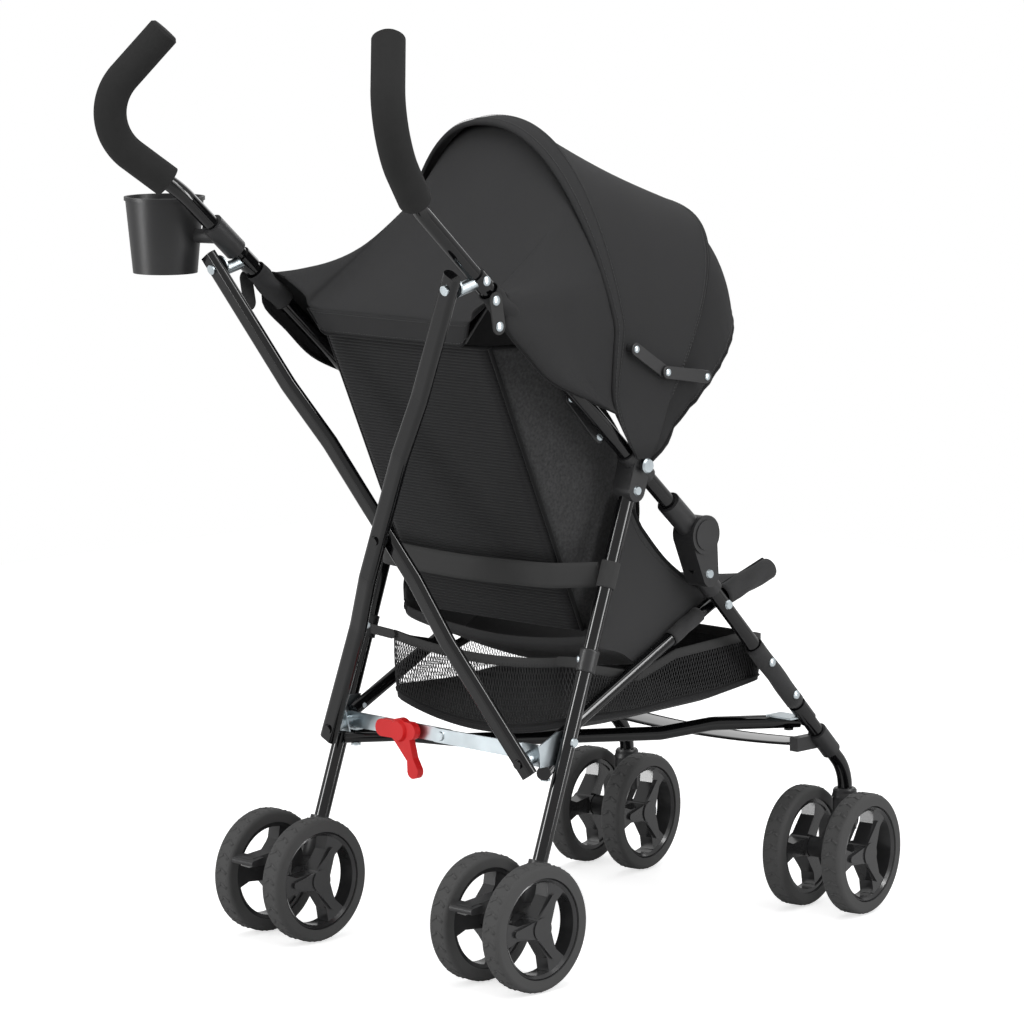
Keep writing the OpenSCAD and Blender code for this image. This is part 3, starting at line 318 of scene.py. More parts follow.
@kept("weave")
def weave_group(name):
    """Threads both ways on the piece's own UV map, in metres: a height, greatest where two cross."""
    group, start, end = node_group(
        name, "ShaderNodeTree", {"Across": ("Float", 900.0), "Along": ("Float", 900.0)}, {"Height": "Float"})
    split = add(group, "ShaderNodeSeparateXYZ", {"Vector": add(group, "ShaderNodeTexCoord").outputs["UV"]})
    waves = []
    for axis, label in (("X", "Across"), ("Y", "Along")):
        turns = maths(group, "MULTIPLY", split.outputs[axis], start.outputs[label])
        wave = maths(group, "SINE", maths(group, "MULTIPLY", turns, math.pi))
        waves.append(maths(group, "ABSOLUTE", wave))
    group.links.new(maths(group, "MULTIPLY", *waves), end.inputs["Height"])
    return group


def material(name, colour, rough, specular=0.5, metallic=0.0, coat=0.0, sheen=0.0):
    """A named material with its Principled shader; constants sit on the shader's own sockets."""
    made = bpy.data.materials.new(name)
    made.use_nodes = True
    shader = made.node_tree.nodes["Principled BSDF"]
    constants = {
        "Base Color": (*colour, 1), "Roughness": rough, "Specular IOR Level": specular, "Metallic": metallic,
        "Coat Weight": coat, "Coat Roughness": 0.06, "Sheen Weight": sheen, "Sheen Roughness": 0.6,
    }
    for label, value in constants.items():
        shader.inputs[label].default_value = value
    return made, made.node_tree, shader


def tint(tree, shader, colour, mask, low, high):
    """Base colour from low to high times the colour, by a mask."""
    ends = [tuple(min(1.0, c * k) for c in colour) + (1,) for k in (low, high)]
    mix = add(tree, "ShaderNodeMix", {"Factor": mask, "A": ends[0], "B": ends[1]}, data_type="RGBA")
    tree.links.new(mix.outputs["Result"], shader.inputs["Base Color"])


def roughen(tree, shader, patch, low, high):
    """Roughness from low to high, by a slow patch."""
    node = add(tree, "ShaderNodeMapRange", {"Value": patch, "To Min": low, "To Max": min(1.0, high)})
    tree.links.new(node.outputs[0], shader.inputs["Roughness"])


def bump(tree, shader, height, distance):
    node = add(tree, "ShaderNodeBump", {"Height": height, "Distance": distance, "Strength": 0.6})
    tree.links.new(node.outputs["Normal"], shader.inputs["Normal"])


def grained(name, colour, rough, scale, depth, patch=12.0, **shine):
    """Moulded, foamed, painted or plated: grain in the bump, patches in colour and roughness."""
    made, tree, shader = material(name, colour, rough, **shine)
    grain = add(tree, "ShaderNodeGroup", {"Scale": scale, "Patch scale": patch}, node_tree=grain_group())
    tint(tree, shader, colour, grain.outputs["Patch"], 0.82, 1.18)
    roughen(tree, shader, grain.outputs["Patch"], rough * 0.8, rough * 1.2)
    bump(tree, shader, grain.outputs["Height"], depth)
    return made


def woven(name, colour, rough, across, along, depth, speckle=0.0, sheen=0.0, grain_scale=700.0,
          shades=(0.74, 1.3)):
    """Cloth: threads on the piece's UV map, with heathered specks where speckle is above 0; the threads' height
    also paints shade into the gaps between threads and a highlight where they cross.
    """
    made, tree, shader = material(name, colour, rough, specular=0.08, sheen=sheen)
    threads = add(tree, "ShaderNodeGroup", {"Across": across, "Along": along}, node_tree=weave_group())
    grain = add(tree, "ShaderNodeGroup", {"Scale": grain_scale, "Patch scale": 14.0}, node_tree=grain_group())
    specks = maths(tree, "MULTIPLY", grain.outputs["Height"], speckle)
    mask = maths(tree, "ADD", maths(tree, "MULTIPLY", threads.outputs["Height"], 1 - speckle), specks)
    # The colour is darker where the threads lie low, as painted shade, and lighter where they cross, as painted
    # highlight; the specks are the heather's own colour.
    tint(tree, shader, colour, mask, *shades)
    roughen(tree, shader, grain.outputs["Patch"], rough - 0.08, rough + 0.08)
    bump(tree, shader, mask, depth)
    return made


# Colour and the share of it, roughness, threads per metre across and along, their depth in metres, and more
CLOTHS = {
    "hood_cloth": ("hood", 1.0, 0.82, 1100, 1100, 0.0002, {"speckle": 0.25}),
    # The visor's cloth is the hood's, made darker as painted shade.
    "visor_cloth": ("hood", 0.86, 0.84, 1100, 1100, 0.0002, {"speckle": 0.25}),
    "rib_knit": ("knit", 1.0, 0.8, 620, 620, 0.0003, {"speckle": 0.1, "sheen": 0.1}),
    "heather_cloth": ("heather", 1.0, 0.88, 800, 800, 0.0003,
                      {"speckle": 0.9, "sheen": 0.2, "grain_scale": 320.0, "shades": (0.1, 1.9)}),
    "seat_cloth": ("hood", 1.05, 0.7, 1000, 1000, 0.0002, {"speckle": 0.2, "sheen": 0.1}),
    "basket_cloth": ("knit", 1.0, 0.7, 420, 420, 0.0004, {"speckle": 0.1, "sheen": 0.1}),
    "webbing": ("webbing", 1.0, 0.7, 260, 700, 0.0004, {"speckle": 0.1, "sheen": 0.1}),
    "binding": ("webbing", 0.8, 0.72, 700, 700, 0.0002, {"sheen": 0.1}),
}
# Colour and the share of it, roughness, scale of the grain, its depth in metres, and more
COATS = {
    "thread": ("hood", 1.2, 0.7, 2500, 0.0001, {}),
    "gloss_paint": ("paint", 1.0, 0.1, 240, 0.00002, {}),
    "foam": ("foam", 1.0, 0.9, 1400, 0.0004, {"patch": 60, "specular": 0.1}),
    "plastic": ("plastic", 1.0, 0.4, 1600, 0.00012, {"specular": 0.35}),
    "gloss_plastic": ("plastic", 1.0, 0.2, 300, 0.00003, {"specular": 0.55}),
    "strap_plastic": ("plastic", 1.0, 0.12, 300, 0.00002, {"specular": 0.9, "coat": 1.0}),
    "tyre": ("tyre", 1.0, 0.38, 1100, 0.0001, {"patch": 30}),
    "zinc": ("zinc", 1.0, 0.3, 700, 0.00004, {"patch": 40, "metallic": 1.0}),
    "lever_plastic": ("lever", 1.0, 0.42, 900, 0.00008, {"specular": 0.3}),
    "net_strand": ("knit", 1.0, 0.62, 1500, 0.0001, {"specular": 0.4}),
}


def finish(name):
    """One of the stroller's finishes by name, made when it is first asked for."""
    found = bpy.data.materials.get(name)
    if found:
        return found
    make, row = (woven, CLOTHS[name]) if name in CLOTHS else (grained, COATS[name])
    source, share, *numbers, more = row
    return make(name, tuple(share * v for v in getattr(colours(), source)), *numbers, **more)


# Meshes


def link_object(name, mesh, finish_name):
    mesh.materials.clear()
    mesh.materials.append(finish(finish_name))
    piece = bpy.data.objects.new(name, mesh)
    bpy.context.scene.collection.objects.link(piece)
    return piece


def smooth_at(points, at):
    """Points of a smooth curve through given ones, at places counted from one given point to the next."""
    p = np.asarray(points, float)
    padded = np.concatenate([[2 * p[0] - p[1]], p, [2 * p[-1] - p[-2]]])
    i = np.minimum(at.astype(int), len(p) - 2)
    shape = (-1,) + (1,) * (p.ndim - 1)
    t = (at - i).reshape(shape)
    a, b, c, d = (padded[i + k] for k in range(4))
    return 0.5 * (2 * b + (c - a) * t + (2 * a - 5 * b + 4 * c - d) * t**2 + (3 * b - a - 3 * c + d) * t**3)


def smooth_through(points, count):
    return smooth_at(points, np.linspace(0, len(points) - 1, count))


def run_lengths(points):
    steps = np.linalg.norm(np.diff(points, axis=0), axis=1)
    return np.concatenate([[0], np.cumsum(steps)])


def grid_mesh(name, rows, inside, closed=False, keep=None):
    """A mesh from rows of points, its faces looking away from inside, with UVs in metres along it."""
    rows = np.asarray(rows, float) * MM
    count, width = rows.shape[:2]
    cells = width if closed else width - 1
    faces, corners = [], []
    across = np.stack([run_lengths(np.concatenate([r, r[:1]]) if closed else r) for r in rows])
    across -= across[:, -1:] / 2
    along = np.mean([run_lengths(rows[:, j]) for j in range(width)], axis=0)
    for i in range(count - 1):
        for j in range(cells):
            if keep is not None and not keep[i, j]:
                continue
            k = (j + 1) % width
            faces.append((i * width + j, i * width + k, (i + 1) * width + k, (i + 1) * width + j))
            corners.append(((i, j), (i, j + 1), (i + 1, j + 1), (i + 1, j)))
    flat = rows.reshape(-1, 3)
    quad = flat[np.array(faces)]
    normal = np.cross(quad[:, 2] - quad[:, 0], quad[:, 3] - quad[:, 1])
    outwards = np.sum(normal * (quad.mean(axis=1) - np.asarray(inside) * MM)) > 0
    if not outwards:
        faces = [f[::-1] for f in faces]
        corners = [c[::-1] for c in corners]
    mesh = bpy.data.meshes.new(name)
    mesh.from_pydata(flat.tolist(), [], faces)
    layer = mesh.uv_layers.new(name="UVMap")
    uv = [(across[i, j], along[i]) for c in corners for i, j in c]
    layer.data.foreach_set("uv", np.array(uv, np.float32).ravel())
    tidy_mesh(mesh)
    return mesh


def tidy_mesh(mesh):
    """Closes poles, drops loose points and shades smooth."""
    work = bmesh.new()
    work.from_mesh(mesh)
    bmesh.ops.remove_doubles(work, verts=work.verts, dist=1e-6)
    bmesh.ops.delete(work, geom=[v for v in work.verts if not v.link_faces], context="VERTS")
    for face in work.faces:
        face.smooth = True
    work.to_mesh(mesh)
    work.free()
    mesh.update()


def cloth_piece(name, rows, inside, finish_name, thickness, closed=False, keep=None):
    """A sheet of cloth whose outer face follows the rows."""
    piece = link_object(name, grid_mesh(name, rows, inside, closed, keep), finish_name)
    wall = piece.modifiers.new("thickness", "SOLIDIFY")
    wall.thickness = thickness
    wall.offset = -1
    return piece


def cut_piece(name, rows, inside, finish_name, thickness, body, held, rests_on, closed=False, keep=None,
              **settling):
    """A sheet of cloth, handed to settle with its body."""
    piece = settle(cloth_piece(name, rows, inside, finish_name, thickness, closed, keep), body, **settling)


def sleeve(name, a, b, radius, finish_name, wrinkle, rows=14, columns=28, wall=0.0014, dome=0.0):
    """A cloth or moulded sleeve round a tube from a to b, wrinkled a little, domed over its start if asked."""
    a, b = np.asarray(a, float), np.asarray(b, float)
    axis = (b - a) / np.linalg.norm(b - a)
    side = np.cross(axis, [0, 0, 1] if abs(axis[2]) < 0.9 else [1, 0, 0])
    side /= np.linalg.norm(side)
    up = np.cross(axis, side)
    turn = np.linspace(0, 2 * math.pi, columns, endpoint=False)
    ring = np.cos(turn)[:, None] * side + np.sin(turn)[:, None] * up
    grid = []
    for lift in np.radians([90, 72, 54, 36, 18]) if dome else ():
        grid.append(a - axis * dome * math.sin(lift) + radius * math.cos(lift) * ring)
    for s in np.linspace(0, 1, rows):
        r = radius + wrinkle * np.sin(3 * turn + 9 * s) * np.sin(math.pi * s)
        grid.append(a + (b - a) * s + r[:, None] * ring)
    return cloth_piece(name, grid, (a + b) / 2, finish_name, wall, closed=True)


def path_mesh(name, paths):
    """Edges along several paths of points."""
    points, edges = [], []
    for path in paths:
        first = len(points)
        points += [tuple(p) for p in np.asarray(path, float) * MM]
        edges += [(first + k, first + k + 1) for k in range(len(path) - 1)]
    mesh = bpy.data.meshes.new(name)
    mesh.from_pydata(points, edges, [])
    return mesh


def wrapped(name, label, ends, radius, finish_name, wrinkle, flat, tube, **shape):
    """Cloth sewn round a tube of one side, put on that side's frame; flat and tube are not used."""
    piece = sleeve(f"{name}_{label}", *ends, radius, finish_name, wrinkle, **shape)
    on_side(piece, label)


# Geometry Nodes


def shape_tree(name, inputs):
    """An empty tree that takes a geometry, its own inputs and a material."""
    sockets = {"Geometry": ("Geometry", None), **inputs, "Material": ("Material", None)}
    return node_group(name, "GeometryNodeTree", sockets, {"Geometry": "Geometry"})


def close_tree(tree, shape, start, end):
    """The tree's end: plain mesh, shaded smooth, with its material."""
    real = add(tree, "GeometryNodeRealizeInstances", {"Geometry": shape})
    soft = add(tree, "GeometryNodeSetShadeSmooth", {"Geometry": real.outputs[0]})
    painted = add(tree, "GeometryNodeSetMaterial",
                  {"Geometry": soft.outputs[0], "Material": start.outputs["Material"]})
    tree.links.new(painted.outputs[0], end.inputs[0])
    return tree


@kept("piping")
def piping_tree(name):
    """A round strand along every path of the input."""
    tree, start, end = shape_tree(name, {"Radius": ("Float", 0.002), "Sides": ("Int", 10)})
    path = add(tree, "GeometryNodeMeshToCurve", {"Mesh": start.outputs["Geometry"]})
    ring = add(tree, "GeometryNodeCurvePrimitiveCircle",
               {"Resolution": start.outputs["Sides"], "Radius": start.outputs["Radius"]})
    swept = add(tree, "GeometryNodeCurveToMesh",
                {"Curve": path.outputs[0], "Profile Curve": ring.outputs[0], "Fill Caps": True})
    return close_tree(tree, swept.outputs[0], start, end)


@kept("stitches")
def stitch_tree(name):
    """Short stitches laid end to end along every path of the input."""
    tree, start, end = shape_tree(
        name, {"Pitch": ("Float", 0.004), "Length": ("Float", 0.003), "Radius": ("Float", 0.0003)})
    path = add(tree, "GeometryNodeMeshToCurve", {"Mesh": start.outputs["Geometry"]})
    points = add(tree, "GeometryNodeCurveToPoints",
                 {"Curve": path.outputs[0], "Length": start.outputs["Pitch"]}, mode="LENGTH")
    thread = add(tree, "GeometryNodeMeshCylinder",
                 {"Vertices": 6, "Radius": start.outputs["Radius"], "Depth": start.outputs["Length"]})
    lie = add(tree, "FunctionNodeAlignRotationToVector", {"Vector": points.outputs["Tangent"]}, axis="Z")
    sewn = add(tree, "GeometryNodeInstanceOnPoints", {
        "Points": points.outputs[0], "Instance": thread.outputs[0], "Rotation": lie.outputs[0]})
    return close_tree(tree, sewn.outputs[0], start, end)


@kept("studs")
def stud_tree(name):
    """Domed studs on the input's points, facing along their own attribute."""
    tree, start, end = shape_tree(name, {"Radius": ("Float", 0.005), "Height": ("Float", 0.002)})
    facing = add(tree, "GeometryNodeInputNamedAttribute", {"Name": "facing"}, data_type="FLOAT_VECTOR")
    dome = add(tree, "GeometryNodeMeshUVSphere", {"Segments": 24, "Rings": 12, "Radius": 1.0})
    size = add(tree, "ShaderNodeCombineXYZ", {
        "X": start.outputs["Radius"], "Y": start.outputs["Radius"], "Z": start.outputs["Height"]})
    shaped = add(tree, "GeometryNodeTransform", {"Geometry": dome.outputs[0], "Scale": size.outputs[0]})
    turn = add(tree, "FunctionNodeAlignRotationToVector", {"Vector": facing.outputs[0]}, axis="Z")
    set_on = add(tree, "GeometryNodeInstanceOnPoints", {
        "Points": start.outputs["Geometry"], "Instance": shaped.outputs[0], "Rotation": turn.outputs[0]})
    return close_tree(tree, set_on.outputs[0], start, end)


# A chevron arm's width in metres, its length and place as shares of the tyre's width, and its slant
ARM_W, ARM_LENGTH, ARM_PLACE, ARM_SLANT = 0.0034, 0.38, 0.165, 0.55
# A dot's radius and its place beside the chevron in metres, and its place as a share of the tyre's width
DOT_R, DOT_X, DOT_Y, DOT_PLACE = 0.0024, -0.002, 0.0068, 0.27


@kept("tread")
def tread_tree(name):
    """Chevrons and dots round a tyre, turned to the wheel's own axle."""
    tree, start, end = shape_tree(name, {
        "Count": ("Int", 26), "Wheel radius": ("Float", 0.07), "Tyre width": ("Float", 0.026),
        "Height": ("Float", 0.0007), "Centre": ("Vector", None), "Turn": ("Rotation", None)})

    def of_width(share):
        return maths(tree, "MULTIPLY", start.outputs["Tyre width"], share)

    ring = add(tree, "GeometryNodeMeshCircle",
               {"Vertices": start.outputs["Count"], "Radius": start.outputs["Wheel radius"]})
    place = add(tree, "GeometryNodeInputPosition")
    out = add(tree, "FunctionNodeAlignRotationToVector", {"Vector": place.outputs[0]},
              axis="X", pivot_axis="Z")
    arm = add(tree, "ShaderNodeCombineXYZ", {
        "X": maths(tree, "MULTIPLY", start.outputs["Height"], 2.0), "Y": ARM_W, "Z": of_width(ARM_LENGTH)})
    arm_shape = "GeometryNodeMeshCube", {"Size": arm.outputs[0]}
    dot_shape = "GeometryNodeMeshUVSphere", {"Segments": 10, "Rings": 6, "Radius": DOT_R}
    parts = []
    for shape, x, y, share, slant in (
        (arm_shape, 0.0, 0.0, ARM_PLACE, ARM_SLANT), (dot_shape, DOT_X, DOT_Y, DOT_PLACE, 0.0),
    ):
        for lean in (-1, 1):
            block = add(tree, *shape)
            shift = add(tree, "ShaderNodeCombineXYZ", {"X": x, "Y": y, "Z": of_width(share * lean)})
            laid = add(tree, "GeometryNodeTransform", {
                "Geometry": block.outputs[0], "Translation": shift.outputs[0],
                "Rotation": (slant * lean, 0.0, 0.0)})
            parts.append(laid.outputs[0])
    motif = add(tree, "GeometryNodeJoinGeometry")
    for part in parts:
        tree.links.new(part, motif.inputs[0])
    round_it = add(tree, "GeometryNodeInstanceOnPoints", {
        "Points": ring.outputs[0], "Instance": motif.outputs[0], "Rotation": out.outputs[0]})
    real = add(tree, "GeometryNodeRealizeInstances", {"Geometry": round_it.outputs[0]})
    set_at = add(tree, "GeometryNodeTransform", {
        "Geometry": real.outputs[0], "Translation": start.outputs["Centre"],
        "Rotation": start.outputs["Turn"]})
    return close_tree(tree, set_at.outputs[0], start, end)


def run_tree(name, mesh, tree, finish_name, **values):
    """Runs a tree on a mesh and keeps the result as a plain mesh."""
    base = bpy.data.objects.new(name + ".path", mesh)
    bpy.context.scene.collection.objects.link(base)
    shape = base.modifiers.new("shape", "NODES")
    shape.node_group = tree
    values = {key.replace("_", " "): value for key, value in values.items()}
    values["Material"] = finish(finish_name)
    for item in tree.interface.items_tree:
        if item.in_out == "INPUT" and item.name in values:
            shape[item.identifier] = values[item.name]
    graph = bpy.context.evaluated_depsgraph_get()
    made = bpy.data.meshes.new_from_object(base.evaluated_get(graph), depsgraph=graph)
    base.modifiers.remove(shape)
    bpy.data.objects.remove(base)
    if not made.polygons:
        raise RuntimeError(f"{name}: the tree made no faces")
    made.name = name
    return link_object(name, made, finish_name)


def piping(name, paths, radius, finish_name="binding", sides=10):
    return run_tree(name, path_mesh(name, paths), piping_tree(), finish_name, Radius=radius, Sides=sides)


def stitches(name, paths):
    s = sizes()
    return run_tree(name, path_mesh(name, paths), stitch_tree(), "thread",
                    Pitch=s.stitch_pitch, Length=s.stitch_pitch * 0.7, Radius=s.stitch_r)


# Radius and height in metres of each kind of domed head
HEADS = {
    "snap": (0.0056, 0.0022), "leg_snap": (0.0052, 0.002), "rivet": (0.0046, 0.0018),
    "stay_rivet": (0.0042, 0.0018), "button": (0.008, 0.0022),
}


def studs(name, places, facing, head, finish_name="zinc"):
    """Domed heads at some places, all facing one way."""
    radius, height = HEADS[head]
    mesh = bpy.data.meshes.new(name)
    mesh.from_pydata([tuple(np.asarray(p) * MM) for p in places], [], [])
    way = mesh.attributes.new("facing", "FLOAT_VECTOR", "POINT")
    way.data.foreach_set("vector", np.tile(np.array(facing, np.float32), len(places)))
    return run_tree(name, mesh, stud_tree(), finish_name, Radius=radius, Height=height)


def flat_link(name, a, b, radius, thickness, facing, finish_name):
    """A flat link with round ends and softened edges between two points."""
    a, b, facing = (np.asarray(v, float) for v in (a, b, facing))
    u = (b - a) / np.linalg.norm(b - a)
    facing = facing - u * (facing @ u)
    facing /= np.linalg.norm(facing)
    v = np.cross(facing, u)
    turns = np.linspace(0, math.pi, 13)
    rim = [b + radius * (np.sin(t) * u + np.cos(t) * v) for t in turns]
    rim += [a - radius * (np.sin(t) * u + np.cos(t) * v) for t in turns]
    work = bmesh.new()
    points = [work.verts.new(Vector(p * MM)) for p in rim]
    face = work.faces.new(points)
    moved = bmesh.ops.extrude_face_region(work, geom=[face])
    bmesh.ops.translate(work, vec=Vector(facing * thickness * MM),
                        verts=[g for g in moved["geom"] if isinstance(g, bmesh.types.BMVert)])
    bmesh.ops.recalc_face_normals(work, faces=work.faces)
    mesh = bpy.data.meshes.new(name)
    work.to_mesh(mesh)
    work.free()
    piece = link_object(name, mesh, finish_name)
    edge = piece.modifiers.new("edge", "BEVEL")
    edge.width = min(thickness, radius) * 0.25 * MM
    edge.segments = 2
    edge.limit_method = "ANGLE"
    return piece


def joined(name, pieces):
    """Joins pieces of one finish into one mesh, with their modifiers applied."""
    graph = bpy.context.evaluated_depsgraph_get()
    work = bmesh.new()
    for piece in pieces:
        part = bpy.data.meshes.new_from_object(piece.evaluated_get(graph), depsgraph=graph)
        work.from_mesh(part)
        bpy.data.meshes.remove(part)
    mesh = bpy.data.meshes.new(name)
    work.to_mesh(mesh)
    work.free()
    finish_name = pieces[0].data.materials[0].name
    for piece in pieces:
        bpy.data.objects.remove(piece)
    return link_object(name, mesh, finish_name)


# Pieces that would flatten as a whole in the fold: where each would stay put, and the share of its width that
# it would keep
FLATTENS = {"hood": (-HOOD_HALF, 1 - FOLD_REACH / (2 * HOOD_HALF)), "back": (-138.0, 0.4575)}


def settle(piece, body, replaces=(), folds="sides", reach=SLING_HALF, slot=None):
    """Puts a piece on its body, or bakes its place in if it goes with the sides; the hood, the seat back and a
    small piece at the left, given by its x, get a mesh of their own; it hides the parts that it replaces.

    reach and slot are not used.
    """
    if folds == "sides":
        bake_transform(piece)
    else:
        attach(piece, body)
    anchor, keep = FLATTENS.get(folds, (None, None))
    if isinstance(folds, float):
        anchor, keep = folds - 2 * SIDE_X, 1 - FOLD_REACH / (2 * SIDE_X)
    if keep:
        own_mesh(piece)
    if replaces:
        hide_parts(*replaces)
    return piece


def on_side(piece, label):
    """Puts a piece on one side frame, which it follows as it is."""
    return settle(piece, f"{label}_frame", folds=None)


# Hood


def arch(bow, steps, inset=0.0, pivot_x=PIVOT_X, skirt=0.0):
    """A bow's arch at angles in degrees; its ends flare over the arms, a skirt swells behind the pivot."""
    lean, height, half, roundness = bow
    t = np.radians(steps)
    side = np.sign(np.cos(t))
    across = (half - inset) * side * np.abs(np.cos(t)) ** roundness
    rise = (height - inset) * np.sin(t) ** roundness
    share = np.clip((rise - FLARE_RISE[0]) / FLARE_RISE[1], 0, 1)
    flare = 1 - share * share * (3 - 2 * share)
    across += side * (pivot_x - half + inset) * flare
    lean = math.radians(lean)
    swell = skirt * np.sin(math.pi * np.clip(rise / SKIRT_RISE, 0, 1) ** 0.62)
    y, z = PIVOT[1] + rise * math.sin(lean) + swell, PIVOT[2] + rise * math.cos(lean)
    return np.stack([across, y, z], axis=-1)


def arch_steps(bow, first_rise, count=81):
    """Angles along an arch that start at a rise above the pivot."""
    start = math.degrees(math.asin((first_rise / bow[1]) ** (1 / bow[3])))
    return np.linspace(start, 180 - start, count)


def leaned(bow, lean, dh, dw):
    """A bow leaned further back, with its height and half width grown."""
    return (bow[0] + lean, bow[1] + dh, bow[2] + dw, bow[3])


def ruled(a, b, shares):
    """Rows between two arches, drawn in a little between them as taut cloth is."""
    axis = np.array([0, PIVOT[1], PIVOT[2]])
    rows = []
    for s in shares:
        row = a + (b - a) * s
        taut = np.clip(np.linalg.norm(row[:, 1:] - axis[1:], axis=1) / TAUT_REACH, 0, 1)[:, None]
        rows.append(axis + (row - axis) * (1 - PANEL_SAG * math.sin(math.pi * s) * taut))
    return rows


def outward(row, lift):
    """A row lifted away from the hood's middle."""
    away = row - HOOD_CENTRE
    return row + lift * away / np.linalg.norm(away, axis=1)[:, None]


class STROLLER_OT_hood(bpy.types.Operator):
    """Makes the hood's rear panel, band, main panel, hem flap, seams and snaps"""

    bl_idname = "stroller.hood"
    bl_label = "Hood"

    # The rear panel's lower edge from the band over the handle tube to the seat back's middle, the rise
    # of the arch that each of its points is drawn to, and how far it swells over the tube
    LOW_EDGE = ((188.5, 6, 613), (188, 60, 635), (188, 112, 658), (188, 150, 690), (190, 184, 724),
                (184, 174.5, 757), (136, 173, 737), (127, 172.5, 723), (110, 172.5, 718.5),
                (90, 172.5, 717.5), (0, 173, 716.5))
    LOW_RISE = (62, 84, 106, 132, 165, 215, 285, 300, 312, 326, 374)
    LOW_SWELL = (1, 7, 8.5, 8.5, 7, 0, 0, 0, 0, 0, 0)
    FLAP_HALF = (127.0, 117.0)
    FLAP_Z = (721.0, 693.0)
    FLAP_Y = (174.5, 168.0)
    # Lean and growth of the band's rows against the bow under it
    BAND = ((3.6, -5.0), (3.9, -1.0), (3.2, 1.6), (1.2, 2.0), (-1.0, 1.8), (-1.4, 0.2))
    # Columns of the rear panel's lower edge that are bound at each side
    BOUND = 28
    # How far the rear panel's middle is drawn forwards and down
    DRAWN_IN = (5.0, 6.0)
    # Radius of the hem's binding in metres, and the rise above the pivot where the band's seams start
    HEM_R = 0.0013
    SEAM_RISE = 30.0
    # Runs of a tab's ends and its pull along the handle tube, and the pull's ends as [y, z]
    TAB_RUN = (392.0, 448.0)
    PULL_RUN = 440.0
    PULL = ((203.0, 752.0), (198.0, 724.0))

    def execute(self, context):
        steps = arch_steps(FRONT_BOW, FIRST_RISE)
        mid = arch(MID_BOW, arch_steps(MID_BOW, FIRST_RISE), skirt=SKIRT)
        front = arch(FRONT_BOW, steps)
        turned = arch(leaned(FRONT_BOW, 1.0, -8.0, -6.0), steps, pivot_x=PIVOT_X - 0.8)
        rolled = [front + (turned - front) * k for k in (0.15, 0.5, 1.0)]
        self.panel("hood_main_panel", ruled(mid, front, np.linspace(0.03, 1, 30)) + rolled, replaces=["hood"])
        self.panel("hood_band", [
            arch(leaned(MID_BOW, lean, dh, dh), arch_steps(MID_BOW, FIRST_RISE), skirt=SKIRT)
            for lean, dh in self.BAND])
        rear_rows, flap_rows = self.rear_rows(), self.flap_rows()
        self.panel("hood_rear_panel", rear_rows)
        self.panel("hood_flap", flap_rows, "hung", "hood_rear_panel")
        round_flap = [*(r[:1] for r in flap_rows), flap_rows[-1], *(r[-1:] for r in flap_rows[::-1])]
        edges = [np.concatenate(round_flap), rear_rows[0][:self.BOUND], rear_rows[0][-self.BOUND:]]
        settle(piping("hood_hem_binding", edges, self.HEM_R), "right_frame", folds="hood")
        seam_steps = arch_steps(MID_BOW, self.SEAM_RISE, 161)
        seams = [outward(arch(leaned(MID_BOW, lean, 2.4, 2.4), seam_steps, skirt=SKIRT), 0.2)
                 for lean in (2.7, -0.5)]
        seams += [outward(row, 0.3)[4:-4] for row in ruled(mid, front, (0.965, 0.985))]
        seams += [flap_rows[i] + [0, 0.3, 0] for i in (1, -2)]
        settle(stitches("hood_stitches", seams), "right_frame", folds="hood")
        for label, sign in SIDES.items():
            self.tab(label, sign)
        return {"FINISHED"}

    def panel(self, name, rows, held="stretched", rests_on="hood_bow", replaces=()):
        cut_piece(name, rows, HOOD_CENTRE, "hood_cloth", sizes().cloth_t, "right_frame", held, [rests_on],
                  replaces=replaces, folds="hood")

    def rear_rows(self):
        """Rows from the lower edge up to the band, which stay outside the handle tubes at the sides."""
        at = np.concatenate([np.linspace(0, 9, 46)[:-1], np.linspace(9, 10, 14)])
        low = smooth_at(self.LOW_EDGE, at)
        bow = leaned(MID_BOW, 1.0, -4.0, -4.0)
        rise = np.minimum(smooth_at(self.LOW_RISE, at), bow[1])
        steps = np.degrees(np.arcsin((rise / bow[1]) ** (1 / bow[3])))
        high = arch(bow, steps, pivot_x=PIVOT_X - 4.8, skirt=SKIRT)
        low, high = (np.concatenate([half, (half * np.array([-1, 1, 1]))[-2::-1]]) for half in (low, high))
        swell = smooth_at(self.LOW_SWELL, at)
        swell = np.concatenate([swell, -swell[-2::-1]])
        middle = np.concatenate([at, at[-2::-1]]) / at[-1]
        rows = []
        for share in np.linspace(0, 1, 34):
            bend = math.sin(math.pi * share) * middle**2
            row = low + (high - low) * share
            row[:, 0] = low[:, 0] + (high[:, 0] - low[:, 0]) * share**1.7
            row[:, 0] += swell * math.sin(math.pi * min(share / 0.5, 1.0) ** 0.6)
            row[:, 1] -= self.DRAWN_IN[0] * bend
            row[:, 2] -= self.DRAWN_IN[1] * bend
            rows.append(row)
        return rows

    def flap_rows(self):
        """The flap that hangs from the rear panel over the top of the seat back."""
        x = np.linspace(-1, 1, 41)
        corner = np.clip((np.abs(x) - 0.9) / 0.1, 0, 1) ** 2
        rows = []
        for share in np.linspace(0, 1, 8):
            half, y, z = (a + (b - a) * share for a, b in (self.FLAP_HALF, self.FLAP_Y, self.FLAP_Z))
            lift = (self.FLAP_Z[0] - self.FLAP_Z[1]) * 0.35 * share * corner
            rows.append(np.stack([x * half, y + 0.7 * share * np.sin(x * 6.5), z + lift], axis=-1))
        return rows

